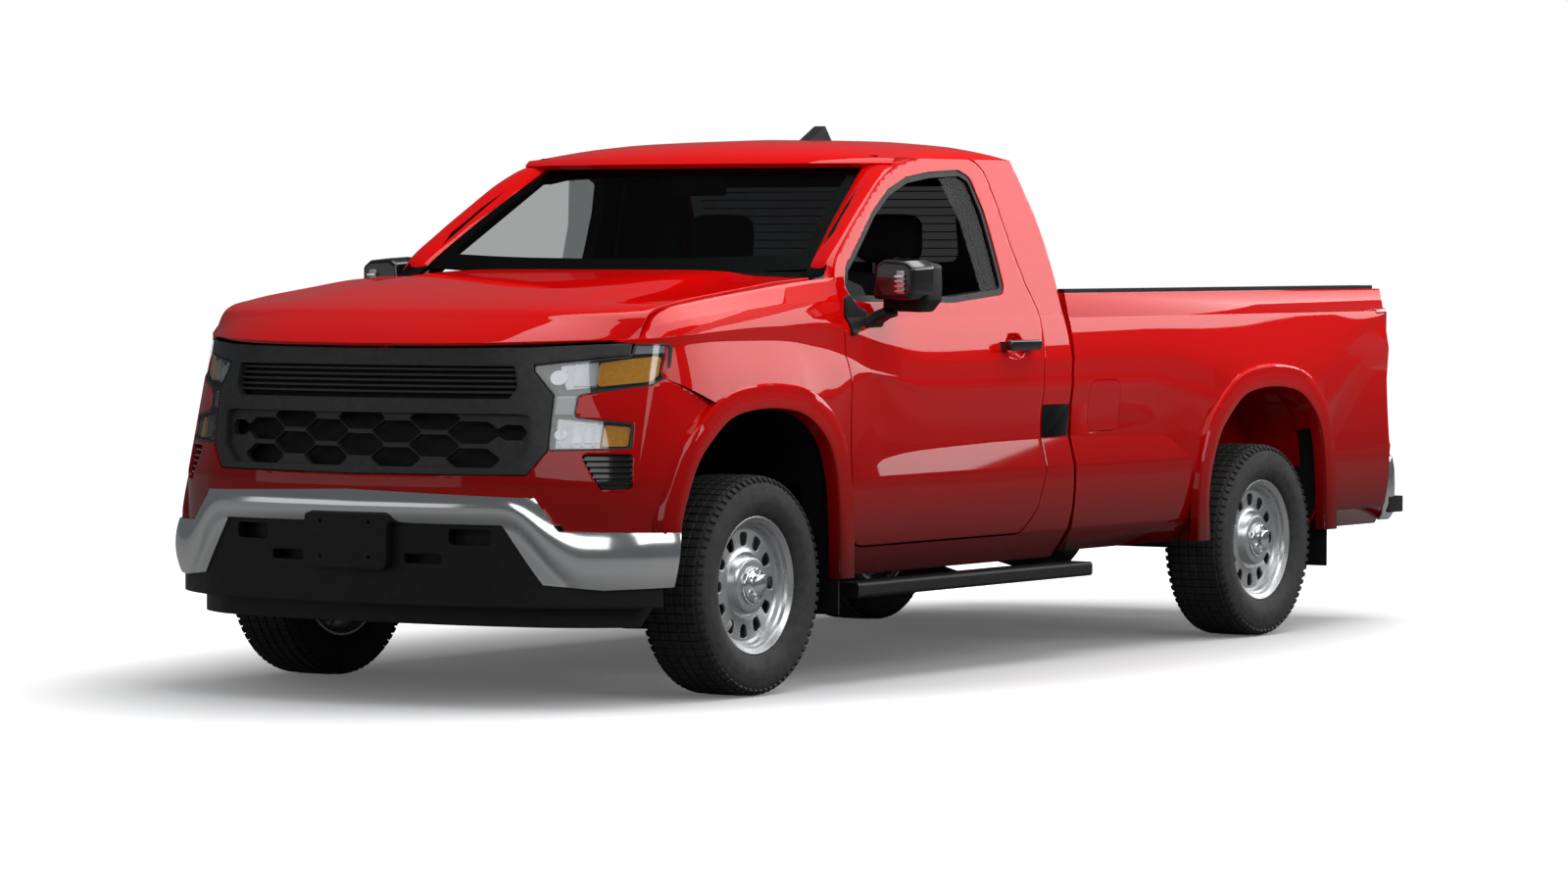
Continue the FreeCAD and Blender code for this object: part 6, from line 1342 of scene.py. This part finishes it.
# ---------------------------------------------------------------- fittings

MIRROR_X, MIRROR_Y, MIRROR_Z = 1.10, 0.70, 1.395


def make_mirrors():
    cap_line = round_corners([(1.005, 1.318), (1.024, 1.452), (1.060, 1.472), (1.160, 1.466), (1.194, 1.440),
                              (1.194, 1.345), (1.165, 1.318)], 0.022, 4)
    cap = prism("y", cap_line, 0.655, 0.785)
    for vertex in cap.data.vertices:
        if vertex.co.y < MIRROR_Y + AXLE_Y:
            vertex.co.x = MIRROR_X + (vertex.co.x - MIRROR_X) * 0.90
            vertex.co.z = MIRROR_Z + (vertex.co.z - MIRROR_Z) * 0.88
    rounded(cap, 0.022, 5, 50)
    both_sides(cap, "mirror_cap", "black_gloss", DOORS, ("door_fittings_left", "door_fittings_right"))
    base_line = round_corners([(1.000, 1.285), (1.010, 1.460), (1.050, 1.470), (1.186, 1.446), (1.186, 1.322),
                               (1.150, 1.282)], 0.018, 4)
    base = prism("y", base_line, 0.745, 0.848)
    rounded(base, 0.012, 3, 50)
    arm = skin([[(1.035, 0.700, 1.300), (1.035, 0.790, 1.300)], [(1.000, 0.690, 1.285), (1.000, 0.785, 1.290)],
                [(0.968, 0.672, 1.262), (0.968, 0.780, 1.268)], [(0.950, 0.650, 1.240), (0.950, 0.790, 1.245)]], 0.034)
    rounded(arm, 0.010, 3, 40)
    foot = side_panel(round_corners([(0.560, 1.196), (0.700, 1.262), (0.700, 1.285), (0.655, 1.300), (0.610, 1.345),
                                     (0.585, 1.330), (0.560, 1.270)], 0.012, 2), "cab", 0.012)
    rounded(moved_out(foot, 0.010), 0.003, 2, 50)
    both_sides(joined([base, arm, foot]), "mirror_base", "black_plastic", DOORS)
    lamp = block(1.120, 1.150, 0.646, 0.662, 1.345, 1.425)
    rounded(lamp, 0.005, 3, 40)
    both_sides(lamp, "mirror_lamp", "lamp_frost", DOORS)
    bars = joined([block(1.117, 1.153, 0.641, 0.650, z, z + 0.006) for z in (1.352, 1.369, 1.386, 1.403)])
    both_sides(bars, "mirror_lamp_bars", "chrome", DOORS)


def make_handles():
    grip = prism("x", rectangle(1.545, 1.765, 1.136, 1.174, 0.018, 5), 1.018, 1.044)
    rounded(grip, 0.007, 4, 50)
    feet = [block(0.985, 1.035, 1.552, 1.580, 1.142, 1.168), block(0.985, 1.035, 1.728, 1.758, 1.142, 1.168)]
    both_sides(joined([grip] + feet), "door_handle", "black_gloss", DOORS)


# The rear bumper's line from its middle round its corner, and how far it rolls in at each height
REAR_BAR = ((0, 0.0, 4.806), (1, 0.25, 4.800), (2, 0.50, 4.782), (3, 0.72, 4.757), (4, 0.88, 4.729),
            (5, 0.945, 4.708), (6, 0.972, 4.676), (7, 0.980, 4.630), (8, 0.980, 4.570))
REAR_BAR_ROLL = ((0.405, 0.030), (0.425, 0.011), (0.470, 0.002), (0.540, 0.0), (0.610, 0.002), (0.655, 0.011),
                 (0.674, 0.030))


def make_tail_lamps():
    for side, name in SIDES:
        outline = [(side * x, z) for x, z in rectangle(0.760, 0.985, 0.852, 1.262, 0.02)]
        inner = [(side * x, z) for x, z in rectangle(0.700, 0.850, 0.930, 1.185, 0.03)]
        lens = prism("y", outline, 4.480, 4.580)
        cut(lens, [prism("y", inner, 4.3, 4.7)])
        rounded(lens, 0.010, 3, 50)
        piece = finish_piece(lens, "tail_lens_" + name, "red_lamp", "truck")
        if side > 0:
            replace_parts(piece, "taillamps")


def make_tailgate():
    gate = prism("y", rectangle(-0.764, 0.764, 0.780, 1.330, 0.02), 4.500, 4.556)
    dent = prism("y", rectangle(-0.700, 0.700, 0.860, 1.130, 0.04, 4), 4.548, 4.7)
    grip = prism("y", rectangle(-0.130, 0.130, 1.185, 1.255, 0.02, 4), 4.530, 4.7)
    cut(gate, [dent, grip])
    rounded(gate, 0.006, 3, 40)
    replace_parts(finish_piece(gate, "tailgate_skin", "red_paint", "tailgate"), "tailgate")


def make_rear_bumper():
    rows = []
    last = REAR_BAR[-1][0]
    for along in spread(-last, last, 97):
        x, y = smooth_at(REAR_BAR, abs(along)), smooth_at(REAR_BAR, abs(along), 2)
        turn = math.radians(90) * (abs(along) / last) ** 3
        rows.append([(math.copysign(x - roll * math.sin(turn), along), y - roll * math.cos(turn), z)
                     for z, roll in REAR_BAR_ROLL])
    bar = skin(rows, 0.012)
    cut(bar, [prism("y", rectangle(-0.300, 0.300, 0.440, 0.640, 0.03, 4), 4.60, 4.90)])
    rounded(bar, 0.004, 2, 50)
    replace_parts(finish_piece(bar, "rear_bumper_bar", "chrome", "truck", 50), "rear_bumper")
    tread = [(across * 0.955, 4.770 - 0.105 * across ** 2) for across in spread(1, -1, 31)]
    tread = prism("z", [(-0.955, 4.575), (0.955, 4.575)] + tread, 0.652, 0.672)
    grooves = [prism("z", rectangle(x, x + 0.008, 4.600, 4.655), 0.668, 0.68) for x in spread(-0.90, 0.89, 41)]
    cut(tread, [joined(grooves)])
    holder = prism("y", rectangle(-0.296, 0.296, 0.444, 0.636, 0.03, 4), 4.752, 4.764)
    steps = []
    for side, _ in SIDES:
        steps.append(prism("z", round_corners([(side * 0.700, 4.690), (side * 0.984, 4.600), (side * 0.984, 4.735),
                                               (side * 0.700, 4.790)], 0.02, 3), 0.436, 0.500))
    finish_piece(joined([tread, holder] + steps), "rear_step", "black_plastic", "truck")


def make_tailgate_handle():
    lever = prism("y", rectangle(-0.110, 0.110, 1.195, 1.235, 0.012), 4.532, 4.548)
    rounded(lever, 0.004, 2, 40)
    finish_piece(lever, "tailgate_handle", "black_plastic", "tailgate")


PADS = (("seat_cushion_left", (0.10, 0.62, 1.24, 1.74, 0.62, 0.83)),
        ("seat_cushion_right", (-0.62, -0.10, 1.24, 1.74, 0.62, 0.83)),
        ("seat_back_left", (0.10, 0.62, 1.66, 1.83, 0.86, 1.42)),
        ("seat_back_right", (-0.62, -0.10, 1.66, 1.83, 0.86, 1.42)),
        ("head_restraint_left", (0.24, 0.50, 1.74, 1.85, 1.45, 1.625)),
        ("head_restraint_right", (-0.50, -0.24, 1.74, 1.85, 1.45, 1.625)))
PAD_VOXEL = 0.012
PAD_PRESSURE = 4.0
PAD_SWELL = 0.016
PAD_FRAMES = 12


def make_seat():
    for name, limits in PADS:
        pad = block(*limits)
        rounded(pad, 0.045, 4, 40)
        finish_pad(pad, name)
    post = joined([block(x - 0.006, x + 0.006, 1.785, 1.797, 1.40, 1.47) for x in (0.31, 0.43, -0.31, -0.43)])
    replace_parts(finish_piece(post, "restraint_posts", "steel", "truck"), "seat")
    base = joined([block(-0.60, 0.60, 1.26, 1.76, 0.54, 0.615), block(-0.09, 0.09, 1.26, 1.80, 0.60, 0.86)])
    rounded(base, 0.02, 3, 40)
    finish_piece(base, "seat_frame", "trim", "truck")


def finish_pad(pad, name):
    """Lets a pad swell as cloth under pressure, within a limit."""
    apply(pad, "REMESH", mode="VOXEL", voxel_size=PAD_VOXEL)
    choose(pad)
    cloth = pad.modifiers.new("cloth", "CLOTH")
    cloth.settings.use_pressure = True
    cloth.settings.uniform_pressure_force = PAD_PRESSURE
    cloth.settings.effector_weights.gravity = 0.0
    before = [vertex.co.copy() for vertex in pad.data.vertices]
    scene = bpy.context.scene
    for frame_number in range(1, PAD_FRAMES + 1):
        scene.frame_set(frame_number)
    bpy.ops.object.modifier_apply(modifier=cloth.name)
    scene.frame_set(1)
    for vertex, start in zip(pad.data.vertices, before):
        move = vertex.co - start
        if move.length > PAD_SWELL:
            vertex.co = start + move.normalized() * PAD_SWELL
    finish_piece(pad, name, "cloth", "truck", 60)


def make_lining():
    lining = side_panel(grown(DOOR_LINE, -0.012), "cab", 0.022, [grown(WINDOW_LINE, 0.006)], COARSE)
    both_sides(moved_out(lining, -0.051), "door_lining", "trim", DOORS)
    rows = [[(x, y, z - 0.028) for x, y, z in [roof_point(x, t) for x in spread(-0.77, 0.77, 21)]]
            for t in spread(0.03, 0.97, 9)]
    headliner = skin(rows, 0.006)
    window = round_corners([(-0.625, 1.452), (0.625, 1.452), (0.600, 1.728), (-0.600, 1.728)], 0.04, 4)
    wall = prism("y", [(-0.85, 0.56), (0.85, 0.56), (0.885, 1.25), (0.760, 1.79), (-0.760, 1.79), (-0.885, 1.25)],
                 1.868, 1.886)
    cut(wall, [prism("y", window, 1.8, 1.95)])
    quarter = side_panel([(1.70, 1.20), (1.93, 1.20), (1.89, 1.80), (1.66, 1.80)], "cab", 0.02, (), COARSE)
    moved_out(quarter, -0.048)
    finish_piece(joined([headliner, wall, quarter, mirrored(quarter)]), "cab_lining", "trim", "truck")


def make_window_lines():
    lines = [block(-0.60, 0.60, 2.004, 2.006, z, z + 0.004) for z in [1.470 + 0.030 * n for n in range(9)]]
    finish_piece(joined(lines), "rear_window_lines", "black_plastic", "truck")


def make_inner_mirror():
    mirror = block(-0.115, 0.115, 1.085, 1.110, 1.690, 1.760)
    rounded(mirror, 0.012, 3, 40)
    stalk = block(-0.015, 0.015, 1.060, 1.090, 1.735, 1.770)
    finish_piece(joined([mirror, stalk]), "inner_mirror", "black_plastic", "truck")


RING_PLACE = (0.40, 1.030 + AXLE_Y, 1.235)
RING_TILT = -67.2


def make_steering_ring():
    """Square to the steering column, with a spoke across and one down."""
    tilt = math.radians(RING_TILT)
    low_spoke = Vector(RING_PLACE) + Vector((0, math.cos(tilt), math.sin(tilt))) * 0.09
    bpy.ops.mesh.primitive_torus_add(major_segments=64, minor_segments=16, major_radius=0.175, minor_radius=0.015,
                                     location=RING_PLACE, rotation=(tilt, 0, 0))
    ring = settled(bpy.context.active_object)
    bpy.ops.mesh.primitive_cylinder_add(vertices=40, radius=0.062, depth=0.036, location=RING_PLACE,
                                        rotation=(tilt, 0, 0))
    hub = settled(bpy.context.active_object)
    rounded(hub, 0.010, 3, 40)
    spokes = []
    for place, size in ((RING_PLACE, (0.350, 0.030, 0.014)), (low_spoke, (0.034, 0.170, 0.014))):
        bpy.ops.mesh.primitive_cube_add(size=1, location=place, rotation=(tilt, 0, 0), scale=size)
        spokes.append(settled(bpy.context.active_object))
    piece = finish_piece(joined([ring, hub] + spokes), "steering_ring", "trim", "steering_wheel")
    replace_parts(piece, "steering_wheel")


# ---------------------------------------------------------------- the whole scene

# Name, place, what it points at, width, length, watts
LIGHTS = (("light_top", (1.6, 1.0, 6.5), (1.6, 0.999, 0.0), 6.0, 9.0, 480.0),
          ("light_rear_left", (7.0, 9.5, 4.9), (0.0, 0.3, 0.9), 16.0, 3.4, 560.0),
          ("light_far_front", (-8.0, -13.0, 2.2), (0.0, -2.5, 0.8), 12.0, 4.0, 75.0),
          ("light_rear_high", (7.0, 9.5, 8.3), (0.0, 0.3, 0.9), 16.0, 3.2, 90.0),
          ("light_left", (10.0, -3.0, 6.0), (0.0, -0.5, 0.8), 8.0, 4.0, 260.0),
          ("light_front", (5.0, -12.0, 5.0), (0.0, -2.0, 0.8), 8.0, 3.5, 150.0))
CORNERS = ("front_left", "front_right", "rear_left", "rear_right")
# What the frame's own nodes wear
NODE_FINISHES = {
    "cab_paint": ("cab_sides",),
    "red_paint": ("door_left", "door_right", "roof", "hood", "fenders", "front_fascia", "bed_sides", "fuel_door",
                  "tailgate", "cab_back", "bed_floor"),
    "black_plastic": ("grille", "valance", "plate_bracket", "bed_rail_caps", "mud_flaps", "wheel_liners", "cowl",
                      "door_fittings_left", "door_fittings_right", "side_steps", "antenna"),
    "glass": ("door_glass_left", "door_glass_right", "windscreen"),
    "glass_dark": ("rear_window",),
    "chrome": ("front_bumper", "rear_bumper"),
    "lamp": ("headlamps",),
    "red_lamp": ("taillamps",),
    "tyre": ["tyre_" + corner for corner in CORNERS],
    "wheel_silver": ["rim_" + corner for corner in CORNERS],
    "frame_black": ("frame_rails", "frame_crossmembers", "front_suspension", "leaf_springs", "hood_hinges",
                    "fuel_tank", "spare_wheel"),
    "cast_iron": ("engine", "rear_axle", "knuckle_left", "knuckle_right"),
    "aluminium": ("gearbox", "radiator"),
    "steel": ("propshaft", "exhaust"),
    "cloth": ("seat",),
    "trim": ("cab_floor", "dashboard", "steering_wheel"),
}

clear()
bpy.context.scene.view_settings.view_transform = "Standard"
make_camera()
make_floor()
make_world()
for light in LIGHTS:
    area_light(*light)
materials = make_materials()
for finish_name, node_names in NODE_FINISHES.items():
    dress(materials[finish_name], *node_names)
soften(0.004, 25, "cab_sides", "roof", "front_fascia", "bed_sides", "tailgate")

make_doors()
make_quarters()
make_fenders()
make_bed_sides()
make_hood()
make_roof()
make_windscreen()
make_pillars()
make_fascia()
make_grille()
make_headlamps()
make_front_bumper()
make_plate_bracket()
make_bumper_sensors()
make_wheels()
make_liners()
make_mirrors()
make_handles()
make_tail_lamps()
make_tailgate()
make_rear_bumper()
make_tailgate_handle()
make_seat()
make_lining()
make_window_lines()
make_inner_mirror()
make_steering_ring()
